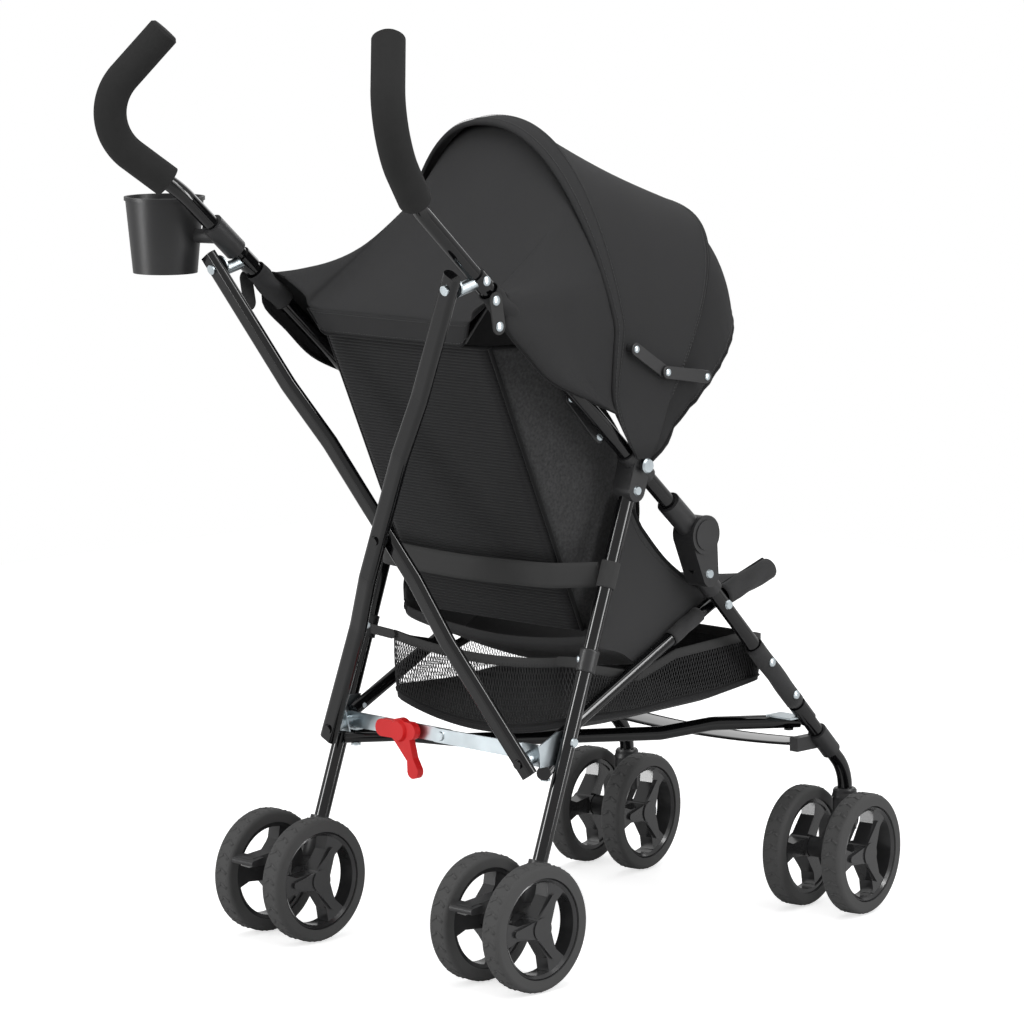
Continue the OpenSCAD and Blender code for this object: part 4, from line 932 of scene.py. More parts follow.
    def tab(self, label, sign):
        """A cloth tab round the handle tube with its pull and snaps, which holds a rear corner of the hood."""
        ends = [mirrored(handle_at(run), sign) for run in self.TAB_RUN]
        wrapped("hood_tab", label, ends, HANDLE_R + 3.2, "hood_cloth", 1.4, (0.078, 0.056), "handle_tube",
                rows=22, columns=40)
        x = handle_at(self.PULL_RUN)[0] + HANDLE_R + 3.0
        pull = [mirrored((x, *p), sign) for p in self.PULL]
        on_side(flat_link(f"hood_pull_{label}", *pull, 9.0, 2.0, (sign, 0, 0), "webbing"), label)
        bolt = mirrored(handle_at(CLAMP_RUN) + [HANDLE_R + 2.2, 0, 0], sign)
        places = [bolt, *(p + [sign * 2.2, 0, 0] for p in pull)]
        on_side(studs(f"hood_snaps_{label}", places, (sign, 0, 0), "snap"), label)


class STROLLER_OT_visor(bpy.types.Operator):
    """Makes the visor with its gathered lip, piping and stitches"""

    bl_idname = "stroller.visor"
    bl_label = "Visor"

    # How far the cloth bulges between its ends
    BULGE = 11.0
    # Height of the lip's gathers and how many turns of them there are in a full circle
    GATHER, GATHERS = 1.5, 56

    def execute(self, context):
        s = sizes()
        start = leaned(FRONT_BOW, 2.5, -VISOR_INSET[0], -VISOR_INSET[1])
        rows = []
        for k in np.linspace(0, 1, 30):
            bulge = self.BULGE * math.sin(math.pi * k) ** 0.8
            bow = leaned(tuple(a + (b - a) * k for a, b in zip(start, LIP_BOW)), 0.0, bulge, bulge * 0.05)
            steps = arch_steps(bow, FIRST_RISE + 1.0)
            turn = np.radians(steps)
            rise = np.sin(turn)
            gather = self.GATHER * k**4 * np.cos(turn * self.GATHERS) * (1 - rise) * np.clip(rise * 4, 0, 1)
            rows.append(outward(arch(bow, steps, pivot_x=PIVOT_X - 2.6), gather[:, None]))
        cut_piece("visor_cloth_panel", rows, HOOD_CENTRE, "visor_cloth", s.cloth_t, "visor", "gathered",
                  ["visor_bow"], replaces=["visor"], folds="hood")
        settle(piping("visor_lip", [rows[-1]], s.piping_r), "visor", folds="hood")
        sewn = stitches("visor_stitches", [outward(rows[i], 0.3)[3:-3] for i in (-2, -3)])
        settle(sewn, "visor", folds="hood")
        return {"FINISHED"}


class STROLLER_OT_bows(bpy.types.Operator):
    """Makes the two bows under the cloth, with their flat arms on the hood pivot"""

    bl_idname = "stroller.bows"
    bl_label = "Bows"

    # Length, radius and thickness of a flat arm, and its x under the hood and under the visor
    ARM_LEN, ARM_R, ARM_T = 26.0, 6.5, 1.0
    HOOD_ARM_X, VISOR_ARM_X = 189.6, 190.8
    # Rise above the pivot where a wire starts, and how far inside of its arm it does
    WIRE_RISE, WIRE_IN = 30.0, 3.2

    def execute(self, context):
        front = leaned(FRONT_BOW, 0.0, -VISOR_INSET[0], -VISOR_INSET[1])
        self.bow("hood_bow", MID_BOW, "right_frame", self.HOOD_ARM_X)
        self.bow("visor_bow", front, "visor", self.VISOR_ARM_X)
        return {"FINISHED"}

    def bow(self, name, bow, body, arm_x):
        s = sizes()
        inset = s.cloth_t / MM + 0.5 + s.bow_r / MM
        wire = arch(bow, arch_steps(bow, self.WIRE_RISE, 61), inset=inset, pivot_x=arm_x - self.WIRE_IN)
        settle(piping(f"{name}_wire", [wire], s.bow_r, "plastic", sides=14), body, [name], "hood")
        lean = math.radians(bow[0])
        way = np.array([0, math.sin(lean), math.cos(lean)])
        for label, sign in SIDES.items():
            ends = [mirrored(PIVOT + way * up + [arm_x, 0, 0], sign) for up in (0.0, self.ARM_LEN)]
            arm = flat_link(f"{name}_arm_{label}", *ends, self.ARM_R, self.ARM_T, (sign, 0, 0), "plastic")
            settle(arm, body, folds=arm_x if sign > 0 else None)


class STROLLER_OT_stays(bpy.types.Operator):
    """Makes the folding stays with their rivets"""

    bl_idname = "stroller.stays"
    bl_label = "Stays"

    # The knee seen from the hood's pivot, and the inner link's x
    KNEE = np.array([0.0, -40.0, 99.5])
    INNER_X = 182.6
    # Thickness and radius of a link, and the gap between the two of a stay
    THICK, RADIUS, GAP = 3.0, 7.2, 0.5
    # Radius of the bosses in metres, and the x where each starts inside the hood's cloth
    BOSS_R = 0.0048
    REAR_BOSS_X, FRONT_BOSS_X = 173.5, 171.5

    def execute(self, context):
        knee = PIVOT + self.KNEE
        outer_x = self.INNER_X + self.THICK + self.GAP
        self.pair("stay_rear", STAY_REAR, knee, self.INNER_X, self.REAR_BOSS_X, [STAY_REAR])
        self.pair("stay_front", STAY_FRONT, knee, outer_x, self.FRONT_BOSS_X, [STAY_FRONT, knee])
        return {"FINISHED"}

    def pair(self, name, foot, knee, x, boss_x, riveted):
        """A link on each side from its foot to the knee, with a boss from the hood's cloth to the foot."""
        for label, sign in SIDES.items():
            carried = x if sign > 0 else None
            ends = [mirrored((x, *p[1:]), sign) for p in (foot, knee)]
            link = flat_link(f"{name}_{label}", *ends, self.RADIUS, self.THICK, (sign, 0, 0), "plastic")
            through = [mirrored((k, *foot[1:]), sign) for k in (boss_x, x + 1.0)]
            boss = piping(f"{name}_boss_{label}", [through], self.BOSS_R, "plastic", sides=20)
            settle(joined(f"{name}_link_{label}", [link, boss]), name, [name], carried)
            heads = [mirrored((x + self.THICK + 0.1, *p[1:]), sign) for p in riveted]
            rivets = studs(f"{name}_rivets_{label}", heads, (sign, 0, 0), "stay_rivet")
            settle(rivets, name, folds=carried)


# Seat


def back_section(v):
    """The seat back at a share v of its height: z, y, half width, and a wing's depth and flare."""
    z = HINGE[2] + 4 + (BACK_TOP - HINGE[2] - 4) * v
    half = BACK_HALF[0] + (BACK_HALF[1] - BACK_HALF[0]) * v
    depth = 14 + WING_DEPTH * max(0.0, math.sin(math.pi * 0.93 * v)) ** 0.7
    return z, back_y(z) - 3, half, depth, 4 + 18 * v * v


class STROLLER_OT_seat_back(bpy.types.Operator):
    """Makes the ribbed seat back, its heathered wings and bindings"""

    bl_idname = "stroller.seat_back"
    bl_label = "Seat back"

    # Height share, slope, width and depth of each slack fold
    FOLDS = ((0.26, 5.0, 34.0, 2.6), (0.44, -3.4, 22.0, 1.8), (0.16, 2.2, 18.0, 1.6))
    ROWS_PER_RIB = 4
    # Radius of the bindings in metres
    BINDING_R = 0.0026

    def crease(self, x, v):
        """Depth of the slack folds across the lower half of the panel."""
        total = 0 * x
        for share, slope, width, depth in self.FOLDS:
            off = (v - share) * (BACK_TOP - HINGE[2]) - slope * x / 20.0
            total = total + depth * np.exp(-((off / width) ** 2)) * np.cos(x / 90.0)
        return total

    def execute(self, context):
        s = sizes()
        height = (BACK_TOP - HINGE[2]) / math.cos(BACK_LEAN)
        count = int(height * MM / s.rib_pitch) * self.ROWS_PER_RIB
        panel = []
        for n, v in enumerate(np.linspace(0, 1, count + 1)):
            z, y, half = back_section(v)[:3]
            x = np.linspace(-half, half, 41)
            share = np.abs(x) / half
            rise = s.rib_h / MM * abs(math.sin(math.pi * n / self.ROWS_PER_RIB))
            curve = 4 - 4 * share**2 - 9 * np.clip((share - 0.93) / 0.07, 0, 1) ** 2
            panel.append(np.stack([x, y + curve + rise + self.crease(x, v), np.full_like(x, z)], axis=-1))
        cut_piece("seat_back_panel", panel, (0, -200.0, 550.0), "rib_knit", s.seat_t, "seat_back", "stretched",
                  ["recline_strap"], replaces=["seat_back"], folds="back")
        bindings, tops = [], [panel[-1]]
        for label, sign in SIDES.items():
            rows, corner = self.wing(sign)
            cut_piece(f"seat_wing_{label}", rows, (0, -60.0, 520.0), "heather_cloth", s.seat_t, "seat_back",
                      "stretched", ["seat_back"], folds="back")
            bindings += [corner, [r[-1] for r in rows]]
            tops.append(rows[-1])
        settle(piping("seat_back_binding", bindings + tops, self.BINDING_R), "seat_back", folds="back")
        return {"FINISHED"}

    def wing(self, sign):
        """Rows of a wing from the panel's corner to its free edge, and the line of that corner."""
        rows, corner = [], []
        t = np.linspace(0, 1, 15)
        for v in np.linspace(0, 1, 49):
            z, y, half, depth, flare = back_section(v)
            x = half + flare * t + 4 * np.sin(math.pi * t) * math.sin(math.pi * v)
            pucker = 0.8 * np.sin(38 * v) * (1 - t) ** 2
            rows.append(np.stack([sign * (x + pucker), y - 9 - (depth - 9) * t, np.full_like(t, z)], axis=-1))
            corner.append(np.array([sign * (half + 0.8), y - 6.5, z]))
        return rows, corner


def sling_grid(count_along=60, count_across=61):
    """The hammock's outer face: rows from the front edge to the hinge, columns from wall to wall."""
    round_r, sag = 8.0, 14.0

    def beside(y, top):
        return (y, seat_z(y) + 1 - round_r, top)

    edges = [
        beside(SEAT_TIP[0], SEAT_TIP[1] + 10),
        beside(SEAT_PIVOT[0] - 45, seat_z(SEAT_PIVOT[0] - 45) + 9),
        beside(SEAT_PIVOT[0], SEAT_PIVOT[1] + 14),
        beside(-120.0, front_z(-120.0) - 14),
        beside(-75.0, 472.0),
        (-40.0, 338.0, LEG_TOP[1] - 12),
        (-8.0, 345.0, 420.0),
        (BACK_FOOT_Y - 1, 352.0, 395.0),
        (BACK_FOOT_Y - 0.5, HINGE[2], HINGE[2] + 8),
    ]
    rows = []
    for y, bottom, top in smooth_through(edges, count_along):
        w = SLING_HALF
        half = [(w, top), (w - 1.5, top * 0.5 + bottom * 0.5), (w - 0.5, bottom + round_r),
                (w - round_r, bottom), (w * 0.5, bottom - sag * 0.7)]
        outline = half + [(0.0, bottom - sag)] + [(-x, z) for x, z in reversed(half)]
        points = smooth_through(np.array([(x, y, z) for x, z in outline]), count_across)
        points[:, 0] = np.clip(points[:, 0], -w, w)
        rows.append(points)
    return np.array(rows)


class STROLLER_OT_seat(bpy.types.Operator):
    """Makes the seat's hammock, its side panels, bindings, and the sleeves on the tubes"""

    bl_idname = "stroller.seat"
    bl_label = "Seat"

    # How far in front of the tube's bend the front sleeve ends, the ends of the loop behind it and of the
    # wrap on the front leg, and the wrap's snaps
    SLEEVE_SHORT = 18
    LOOP_Y = (-158.0, -112.0)
    WRAP_Z = (326.0, 252.0)
    SNAP_Z = (305.0, 262.0)

    def execute(self, context):
        s = sizes()
        rows = sling_grid()
        cut_piece("seat_hammock", rows, (0, -110.0, 520.0), "seat_cloth", s.seat_t, "right_frame", "hung",
                  ["left_seat_tube", "right_seat_tube"], replaces=["seat_sling"])
        settle(piping("seat_binding", [rows[:, 0], rows[:, -1], rows[0]], s.piping_r), "right_frame")
        seams = [rows[:, column] + [lift, 0, 0] for column, lift in ((1, 0.4), (-2, -0.4))]
        settle(stitches("seat_stitches", seams), "right_frame")
        for label, sign in SIDES.items():
            self.sleeves(label, sign)
        return {"FINISHED"}

    def sleeves(self, label, sign):
        """Cloth sewn round the seat tube's front end, the seat tube and the front leg, with its snaps."""
        tip = mirrored((SEAT_X, *SEAT_TIP), sign)
        end_y = SEAT_PIVOT[0] - self.SLEEVE_SHORT
        end, *loop = (mirrored((SEAT_X, y, seat_z(y)), sign) for y in (end_y, *self.LOOP_Y))
        wrap = [mirrored((SIDE_X, front_y(z), z), sign) for z in self.WRAP_Z]
        for name, ends, radius, wrinkle, flat, tube, dome in (
            ("seat_sleeve", (tip, end), SEAT_R + 4.8, 0.9, (0.078, 0.095), "seat_tube", 5.0),
            ("seat_loop", loop, SEAT_R + 1.6, 0.5, (0.06, 0.06), "seat_tube", 0.0),
            ("leg_wrap", wrap, LEG_R + 2.2, 0.6, (0.07, 0.104), "front_leg", 0.0),
        ):
            wrapped(name, label, ends, radius, "seat_cloth", wrinkle, flat, tube, dome=dome)
        places = [mirrored((SIDE_X + LEG_R + 2.6, front_y(z), z), sign) for z in self.SNAP_Z]
        on_side(studs(f"leg_snaps_{label}", places, (sign, 0, 0), "leg_snap"), label)


class STROLLER_OT_harness(bpy.types.Operator):
    """Makes the harness on the front of the seat back"""

    bl_idname = "stroller.harness"
    bl_label = "Harness"

    # A shoulder strap's way down the back: across, up from the hinge and off the cloth
    STRAP = ((52, 300, 4.4), (44, 240, 7.0), (34, 160, 6.4), (20, 66, 8.5))
    STRAP_HALF = 10.0
    STRAP_T = 0.0014
    # The buckle's ends up the back, its lift off the cloth, radius and thickness, and the button's place
    BUCKLE_UP, BUCKLE_LIFT, BUCKLE_R, BUCKLE_T = (42, 62), 5.0, 20.0, 8.0
    BUTTON_UP, BUTTON_LIFT = 52, 13.4

    def on_back(self, x, up, lift):
        """A point on the front of the seat back, up millimetres along it from the hinge."""
        z = HINGE[2] + up * math.cos(BACK_LEAN)
        y = BACK_FOOT_Y + up * math.sin(BACK_LEAN)
        return np.array([x, y - lift * math.cos(BACK_LEAN), z + lift * math.sin(BACK_LEAN)])

    def execute(self, context):
        for label, sign in SIDES.items():
            path = [(sign * x, up, lift) for x, up, lift in self.STRAP]
            columns = np.linspace(-self.STRAP_HALF, self.STRAP_HALF, 5)
            rows = [[self.on_back(x + dx, up, lift) for dx in columns]
                    for x, up, lift in smooth_through(path, 40)]
            strap = cloth_piece(f"shoulder_strap_{label}", rows, (0, 400.0, 600.0), "webbing", self.STRAP_T)
            settle(strap, "seat_back", ["harness"], "back")
        ends = [self.on_back(0, up, self.BUCKLE_LIFT) for up in self.BUCKLE_UP]
        facing = (0, -math.cos(BACK_LEAN), math.sin(BACK_LEAN))
        buckle = flat_link("harness_buckle", *ends, self.BUCKLE_R, self.BUCKLE_T, facing, "plastic")
        settle(buckle, "seat_back", folds="back")
        place = self.on_back(0, self.BUTTON_UP, self.BUTTON_LIFT)
        button = studs("harness_button", [place], facing, "button", "lever_plastic")
        settle(button, "seat_back", folds="back")
        return {"FINISHED"}


class STROLLER_OT_straps(bpy.types.Operator):
    """Makes the belt behind the seat back, its loops on the legs, the recline arms and the foot strap"""

    bl_idname = "stroller.straps"
    bl_label = "Straps"

    # Upper and lower end of a recline arm, its radius and thickness
    ARM = ((151.0, 43.0, 631.0), (164.0, 12.0, 587.0))
    ARM_R, ARM_T = 7.5, 5.0
    # Slack of the belt behind the seat back, and how far the foot strap droops
    BELT_SLACK = 20
    DROOP = 7.0
    # Thickness of the two, and radius of the foot strap's bound edges, in metres
    BELT_T, FOOT_T, EDGE_R = 0.0018, 0.002, 0.0014

    def execute(self, context):
        leg_y = rear_y(STRAP_Z) + 6
        back = back_y(STRAP_Z) + self.BELT_SLACK
        half = BACK_HALF[0] + 4
        right = [(-LEG_IN + 0.6, leg_y, 0), (-half - 2, back - 4, 0), (-half * 0.5, back + 1, -2)]
        path = [*right, (0, back + 2, -3), *((-x, y, dz) for x, y, dz in right[::-1])]
        curve = smooth_through(path, 61)
        rows = [[(x, y + 0.8 * math.sin(math.pi * k), STRAP_Z + dz + STRAP_W * (k - 0.5)) for x, y, dz in curve]
                for k in np.linspace(0, 1, 7)]
        cut_piece("recline_belt", rows, (0, -300.0, STRAP_Z), "webbing", self.BELT_T, "right_frame",
                  "stretched", ["left_rear_leg", "right_rear_leg"], replaces=["recline_strap"],
                  reach=BACK_HALF[0])
        for label, sign in SIDES.items():
            self.side(label, sign)
        self.foot_strap()
        return {"FINISHED"}

    def side(self, label, sign):
        """The belt's loop on the rear leg, and the recline arm with its rivets."""
        ends = [mirrored((SIDE_X, rear_y(z), z), sign) for z in (STRAP_Z + STRAP_W / 2, STRAP_Z - STRAP_W / 2)]
        wrapped("belt_loop", label, ends, LEG_R + 2.2, "webbing", 0.2, (0.067, 0.028), "rear_leg")
        arm, facing = [mirrored(p, sign) for p in self.ARM], (sign, 0.3, 0)
        on_side(flat_link(f"recline_arm_{label}", *arm, self.ARM_R, self.ARM_T, facing, "plastic"), label)
        places = [p + [sign * self.ARM_T, 1.6, 0] for p in arm]
        on_side(studs(f"recline_rivets_{label}", places, facing, "rivet"), label)

    def foot_strap(self):
        y = front_y(FOOT_STRAP_Z)
        half = SIDE_X - 14.4
        x = np.linspace(-half, half, 41)
        rows = []
        for k in np.linspace(0, 1, 9):
            z = FOOT_STRAP_Z + 1 - self.DROOP * (1 - (x / half) ** 2) + math.sin(math.pi * k)
            rows.append(np.stack([x, np.full_like(x, y + FOOT_STRAP_W * k), z], axis=-1))
        cut_piece("foot_rest_strap", rows, (0, y, -500.0), "strap_plastic", self.FOOT_T, "right_frame",
                  "stretched", ["left_mouldings", "right_mouldings"], replaces=["foot_strap"])
        edge = piping("foot_rest_binding", [rows[i] - [0, 0, 1.0] for i in (0, -1)], self.EDGE_R)
        settle(edge, "right_frame", slot="webbing")


# Basket


class STROLLER_OT_basket(bpy.types.Operator):
    """Makes the basket as a sagging bag with net windows, a webbing rim, piping and leg clips"""

    bl_idname = "stroller.basket"
    bl_label = "Basket"

    # Heights of the rim and the floor along y, and the windows' shares of the way from the rim to
    # the floor's middle
    RIM = ((-300, -246, -130, -70, 0, 46), (326, 336, 330, 312, 328, 345))
    FLOOR = ((-300, -200, -60, 36, 46), (276, 264, 260, 262, 264))
    WINDOW = (0.05, 0.52)
    REAR_SAG = 13.0
    FLOOR_SAG = 26.0
    CLIP_Z = 342.0
    CLIP_HALF = 12.0
    # Thickness of the bag and of its rim, and radius of its seam, in metres
    CLOTH_T, RIM_T, SEAM_R = 0.0012, 0.0016, 0.0016
    MID_Y = (BASKET_Y[0] + BASKET_Y[1]) / 2
    # Roundness of the plan's corners, and the share of that way that is wall
    CORNER = 0.14
    WALL = 0.6
    # Height where a gusset starts and what it rises by, on the leg and on the bag
    GUSSET_LEG, GUSSET_BAG = (258, 64), (283, 47)

    def loop(self, count=160):
        """The rim's plan, a rounded oblong, evenly spread; it starts at the rear's middle."""
        t = np.linspace(0, 2 * math.pi, 2001) + math.pi / 2
        x, y = (np.sign(p) * np.abs(p) ** self.CORNER for p in (np.cos(t), np.sin(t)))
        x, y = (SLING_HALF - 1.5) * x, self.MID_Y + (BASKET_Y[1] - BASKET_Y[0]) / 2 * y
        run = run_lengths(np.stack([x, y], axis=-1))
        at = np.linspace(0, run[-1], count, endpoint=False)
        return np.interp(at, run, x), np.interp(at, run, y)

    def ring(self, x, y, v):
        """One ring of the bag, v from 0 at the rim to 1 at the middle of the floor."""
        wall, base = min(v / self.WALL, 1.0), max((v - self.WALL) / (1 - self.WALL), 0.0)
        scale = (1 - 0.015 * wall) * (1 - base**1.6)
        bulge = 1.0 + 0.012 * math.sin(math.pi * wall)
        inner_y = self.MID_Y + (y - self.MID_Y) * scale
        rim, floor = np.interp(y, *self.RIM), np.interp(inner_y, *self.FLOOR)
        rim = rim - self.REAR_SAG * np.clip((y - 10) / 30, 0, 1) ** 2 * (1 - (x / SLING_HALF) ** 2)
        floor = floor - self.FLOOR_SAG * (1 - (x * scale / SLING_HALF) ** 2)
        z = rim + (floor + 6 - rim) * wall**0.9 - 4 * math.sin(0.5 * math.pi * base)
        side = np.clip(x * scale * bulge, -SLING_HALF, SLING_HALF)
        return np.stack([side, inner_y, z], axis=-1)

    def execute(self, context):
        x, y = self.loop()
        shares = np.linspace(0, 1, 41)
        rows = np.array([self.ring(x, y, v) for v in shares])
        inside = (0, -110.0, 330.0)
        middle = (shares[:-1] + shares[1:]) / 2
        mid_x, mid_y = ((p + np.roll(p, -1)) / 2 for p in (x, y))
        in_wall = (middle > self.WINDOW[0]) & (middle < self.WINDOW[1])
        corner = (np.abs(mid_x) > SLING_HALF - 10) & (mid_y > BASKET_Y[1] - 10)
        keep = ~(in_wall[:, None] & ((mid_y > BASKET_Y[0] + 24) & ~corner)[None, :])
        cut_piece("basket_bag", rows, inside, "basket_cloth", self.CLOTH_T, "right_frame", "hung",
                  ["left_seat_tube", "right_seat_tube"], closed=True, keep=keep, replaces=["basket"])
        self.net(x, y)
        rim_rows = [rows[0] * [1.004, 1, 1] + [0, 0, dz] for dz in (0.8, -2.5, -6.0, -10.0)]
        cut_piece("basket_rim", rim_rows, inside, "webbing", self.RIM_T, "right_frame", "hung",
                  ["basket_bag"], closed=True)
        seam = self.ring(x, y, self.WINDOW[1] + 0.01)
        seam = piping("basket_seam", [np.concatenate([seam, seam[:1]])], self.SEAM_R)
        settle(seam, "right_frame", slot="webbing")
        for label, sign in SIDES.items():
            self.clip(label, sign)
            self.gusset(label, sign)
        return {"FINISHED"}

    def gusset(self, label, sign):
        """Cloth from the basket's front corner to the wrap on the front leg."""
        rows = []
        for s in np.linspace(0, 1, 9):
            z, bag_z = (low + rise * s for low, rise in (self.GUSSET_LEG, self.GUSSET_BAG))
            inner = mirrored((SLING_HALF - 2, BASKET_Y[0] + 2 + 46 * s, bag_z), sign)
            outer = mirrored((LEG_IN - 1, front_y(z), z), sign)
            rows.append([inner + (outer - inner) * t - [0, 0, 2 * math.sin(math.pi * t)]
                         for t in np.linspace(0, 1, 7)])
        cut_piece(f"basket_gusset_{label}", rows, (0, -200.0, 300.0), "basket_cloth", self.CLOTH_T,
                  f"{label}_frame", "stretched", [f"{label}_front_leg"], folds=None)

    def net(self, x, y):
        """Two families of slanting strands across the windows."""
        s = sizes()
        total = run_lengths(np.stack([x, y], axis=-1))[-1]
        count = int(total * MM / s.net_pitch)
        at = np.arange(len(x))
        rings = np.linspace(self.WINDOW[0] - 0.02, self.WINDOW[1] + 0.02, 11)
        layers = [self.ring(x, y, v) for v in rings]
        paths = []
        for k in range(count):
            for lean in (-1, 1):
                path = []
                for m, layer in enumerate(layers):
                    place = ((k + 0.5 * lean * m) / count * len(x)) % len(x)
                    path.append([np.interp(place, at, layer[:, c], period=len(x)) for c in range(3)])
                if min(p[1] for p in path) > BASKET_Y[0] + 18:
                    paths.append(path)
        settle(piping("basket_net", paths, s.net_r, "net_strand", sides=4), "right_frame")

    def clip(self, label, sign):
        """A moulded clip round the rear leg, with a strap to the basket's corner."""
        z = self.CLIP_Z
        ends = [mirrored((SIDE_X, rear_y(h), h), sign) for h in (z + self.CLIP_HALF, z - self.CLIP_HALF)]
        on_side(sleeve(f"basket_clip_{label}", *ends, LEG_R + 2.4, "plastic", 0.0, wall=0.002), label)
        start = mirrored((LEG_IN - 0.5, rear_y(z) + 4, z - 2), sign)
        end = mirrored((SLING_HALF - 15.0, BASKET_Y[1] + 1.4, z - 5), sign)
        on_side(flat_link(f"basket_tongue_{label}", start, end, 5.5, 2.0, (0, 1, 0), "webbing"), label)
        facing = np.array([-sign * 0.6, 0.8, 0])
        place = mirrored((SIDE_X, rear_y(z + 2), z + 2), sign) + (LEG_R + 2.6) * facing
        on_side(studs(f"basket_stud_{label}", [place], facing, "rivet"), label)


# Wheels


class STROLLER_OT_tread(bpy.types.Operator):
    """Makes the raised tread of the eight tyres"""

    bl_idname = "stroller.tread"
    bl_label = "Tread"

    def execute(self, context):
        s = sizes()
        for end in ("rear", "front"):
            for label in SIDES:
                for place in ("outer", "inner"):
                    wheel = f"{label}_{end}_{place}"
                    low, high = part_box(f"{wheel}_tyre")
                    axle = Matrix.Rotation(CASTER_TURN if end == "front" else 0.0, 3, "Z")
                    turn = (axle @ Matrix.Rotation(math.pi / 2, 3, "Y")).to_euler()
                    made = run_tree(
                        f"{wheel}_tread", bpy.data.meshes.new("ring"), tread_tree(), "tyre",
                        Count=s.tread_count, Wheel_radius=WHEEL_R * MM, Tyre_width=TYRE_W * MM,
                        Height=s.tread_h, Centre=(low + high) / 2, Turn=turn)
                    settle(made, f"{wheel}_wheel", folds=None)
        return {"FINISHED"}


# Finishes of the frame


# What the name of a node holds for each finish; all others are plastic
NODE_FINISH = {
    "gloss_paint": ("handle_tube", "front_leg", "rear_leg", "seat_tube", "cross_tube", "lower_tube"),
    "foam": ("grip",), "zinc": ("fittings", "axle", "lock_bar"), "gloss_plastic": ("rim",),
    "tyre": ("tyre",), "lever_plastic": ("lock_lever",),
}


class STROLLER_OT_finishes(bpy.types.Operator):
    """Gives every carried-over node of the frame its finish"""

    bl_idname = "stroller.finishes"
    bl_label = "Finishes"

    # Half length of the collar round the handle tube, and the heights of the one round the front leg
    CLAMP_HALF = 14
    COLLAR_Z = (224.0, 252.0)

    def execute(self, context):
        for name, piece in frame["nodes"].items():
            found = [made for made, parts in NODE_FINISH.items() if any(part in name for part in parts)]
            piece.data.materials.clear()
            piece.data.materials.append(finish(found[0] if found else "plastic"))
            if name.endswith("_fittings"):
                self.paint_clamp(piece, SIDES[name.split("_")[0]])
        return {"FINISHED"}

    def paint_clamp(self, piece, side):
        """Paints the collars round the handle tube and the front leg as the tubes are."""
        piece.data.materials.append(finish("gloss_paint"))
        collars = (
            (*(mirrored(handle_at(CLAMP_RUN + run * self.CLAMP_HALF), side) for run in (-1, 1)), HANDLE_R + 5),
            (*(mirrored((SIDE_X, front_y(z), z), side) for z in self.COLLAR_Z), LEG_R + 2.2),
        )
        for low, high, reach in collars:
            length = np.linalg.norm(high - low)
            axis = (high - low) / length
            for face in piece.data.polygons:
                away = np.array(piece.matrix_world @ face.center) / MM - low
                along = away @ axis
                if 0 < along < length and np.linalg.norm(away - along * axis) < reach:
                    face.material_index = 1


# Stage


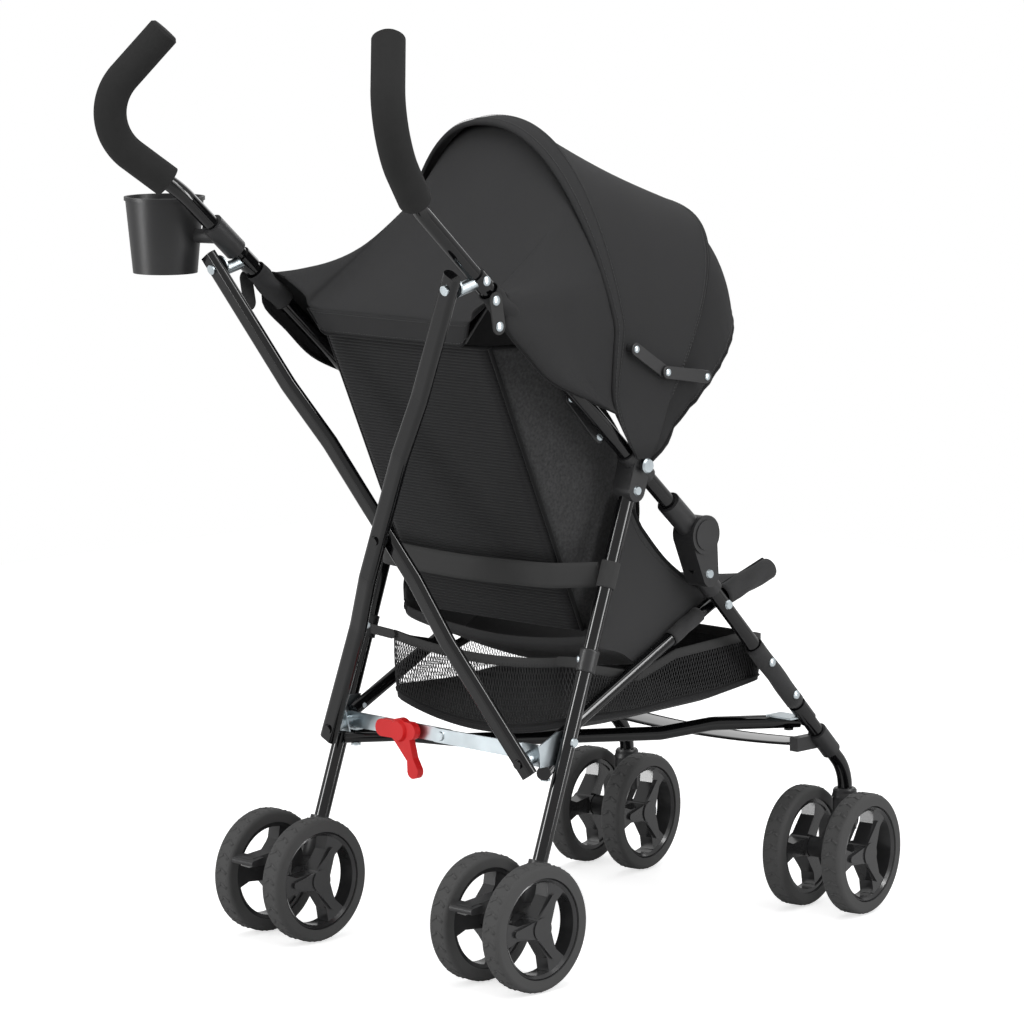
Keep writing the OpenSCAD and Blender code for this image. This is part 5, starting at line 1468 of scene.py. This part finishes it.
class STROLLER_OT_stage(bpy.types.Operator):
    """Makes the camera, floor, lamps and white surround"""

    bl_idname = "stroller.stage"
    bl_label = "Stage"

    TARGET = Vector((0, 0, 0.5))
    AZIMUTH = math.radians(224.953)
    ELEVATION = math.radians(7.885)
    ROLL = math.radians(-0.246)
    DISTANCE = 5.3425
    LENS = 166.98
    SHIFT = (0.0115, -0.0119)
    FLOOR_Z = -0.0013
    FLOOR_REACH = 2.6
    FLOOR_GREY = 0.86
    FLOOR_GLOW = 0.66
    # Width of the strips that only reflections show, and their power for each metre of height
    STRIP_W = 0.8
    STRIP_POWER = 30
    # The white surround as reflections see it, and as it lights the rest
    GLOSSY_WHITE = 0.62
    AMBIENT_WHITE = 0.42

    def execute(self, context):
        self.camera(context)
        self.floor()
        self.surround(context)
        for name, place, size, power in (
            ("top_lamp", (-0.6, 0.6, 3.4), (3.0, 3.0), 50),
            ("left_lamp", (1.6, 3.6, 1.5), (1.2, 2.6), 38),
            ("right_lamp", (-4.0, -0.6, 1.6), (1.2, 2.6), 34),
            ("front_lamp", (1.2, -3.4, 2.2), (2.0, 2.0), 22),
        ):
            self.lamp(name, place, size, power)
        for name, place, height in (
            ("left_strip", (1.9, 3.5, 0.9), 3.6),
            ("right_strip", (-3.9, -1.4, 1.8), 5.4),
        ):
            strip = self.lamp(name, place, (self.STRIP_W, height), self.STRIP_POWER * height)
            strip.visible_diffuse = False
        return {"FINISHED"}

    def camera(self, context):
        data = bpy.data.cameras.new("camera")
        data.lens = self.LENS
        data.sensor_width = 36
        data.shift_x, data.shift_y = self.SHIFT
        data.clip_end = 60
        eye = bpy.data.objects.new("camera", data)
        level = math.cos(self.ELEVATION)
        back = Vector((
            math.sin(self.AZIMUTH) * level, -math.cos(self.AZIMUTH) * level, math.sin(self.ELEVATION)))
        right = (-back).cross(Vector((0, 0, 1))).normalized()
        up = right.cross(-back)
        c, s = math.cos(self.ROLL), math.sin(self.ROLL)
        right, up = c * right + s * up, c * up - s * right
        turn = Matrix((right, up, back)).transposed().to_4x4()
        eye.matrix_world = Matrix.Translation(self.TARGET + back * self.DISTANCE) @ turn
        context.scene.collection.objects.link(eye)
        context.scene.camera = eye

    def floor(self):
        mesh = bpy.data.meshes.new("floor")
        corners = ((-1, -1), (1, -1), (1, 1), (-1, 1))
        points = [(x * self.FLOOR_REACH, y * self.FLOOR_REACH, self.FLOOR_Z) for x, y in corners]
        mesh.from_pydata(points, [], [(0, 1, 2, 3)])
        made, tree, shader = material("floor", (self.FLOOR_GREY,) * 3, 0.9)
        shader.inputs["Emission Strength"].default_value = self.FLOOR_GLOW
        seen = add(tree, "ShaderNodeLightPath").outputs["Is Camera Ray"]
        tree.links.new(seen, shader.inputs["Emission Color"])
        floor = bpy.data.objects.new("floor", mesh)
        mesh.materials.append(made)
        bpy.context.scene.collection.objects.link(floor)

    def surround(self, context):
        world = bpy.data.worlds.new("studio")
        context.scene.world = world
        world.use_nodes = True
        tree = world.node_tree
        path = add(tree, "ShaderNodeLightPath")
        seen = maths(tree, "MAXIMUM", path.outputs["Is Camera Ray"], path.outputs["Is Transmission Ray"])
        mirrors = maths(tree, "MULTIPLY", path.outputs["Is Glossy Ray"], self.GLOSSY_WHITE)
        strength = maths(tree, "MAXIMUM", maths(tree, "MAXIMUM", seen, mirrors), self.AMBIENT_WHITE)
        surface = tree.nodes["Background"]
        surface.inputs["Color"].default_value = (1, 1, 1, 1)
        tree.links.new(strength, surface.inputs["Strength"])
        context.scene.view_settings.view_transform = "Standard"

    def lamp(self, name, place, size, power):
        data = bpy.data.lights.new(name, "AREA")
        data.shape = "RECTANGLE"
        data.size, data.size_y = size
        data.energy = power
        lamp = bpy.data.objects.new(name, data)
        lamp.location = place
        lamp.rotation_euler = (self.TARGET - Vector(place)).to_track_quat("-Z", "Y").to_euler()
        bpy.context.scene.collection.objects.link(lamp)
        return lamp


# Add-on


class STROLLER_PT_panel(bpy.types.Panel):
    """Lists the stroller's sizes, colours and pieces"""

    bl_idname = "STROLLER_PT_panel"
    bl_label = "Stroller"
    bl_space_type = "VIEW_3D"
    bl_region_type = "UI"
    bl_category = "Stroller"

    def draw(self, context):
        for group in (context.scene.stroller_sizes, context.scene.stroller_colours):
            box = self.layout.box()
            for key in group.__annotations__:
                box.prop(group, key)
        for operator in OPERATORS:
            self.layout.operator(operator.bl_idname)


OPERATORS = (
    STROLLER_OT_stage, STROLLER_OT_finishes, STROLLER_OT_hood, STROLLER_OT_visor, STROLLER_OT_bows,
    STROLLER_OT_stays, STROLLER_OT_seat_back, STROLLER_OT_seat, STROLLER_OT_harness, STROLLER_OT_straps,
    STROLLER_OT_basket, STROLLER_OT_tread,
)
CLASSES = (StrollerSizes, StrollerColours, *OPERATORS, STROLLER_PT_panel)


def register():
    for made in CLASSES:
        bpy.utils.register_class(made)
    bpy.types.Scene.stroller_sizes = PointerProperty(type=StrollerSizes)
    bpy.types.Scene.stroller_colours = PointerProperty(type=StrollerColours)


def unregister():
    del bpy.types.Scene.stroller_colours
    del bpy.types.Scene.stroller_sizes
    for made in reversed(CLASSES):
        bpy.utils.unregister_class(made)


def main():
    register()
    for operator in OPERATORS:
        group, action = operator.bl_idname.split(".")
        getattr(getattr(bpy.ops, group), action)()


if __name__ == "__main__":
    main()
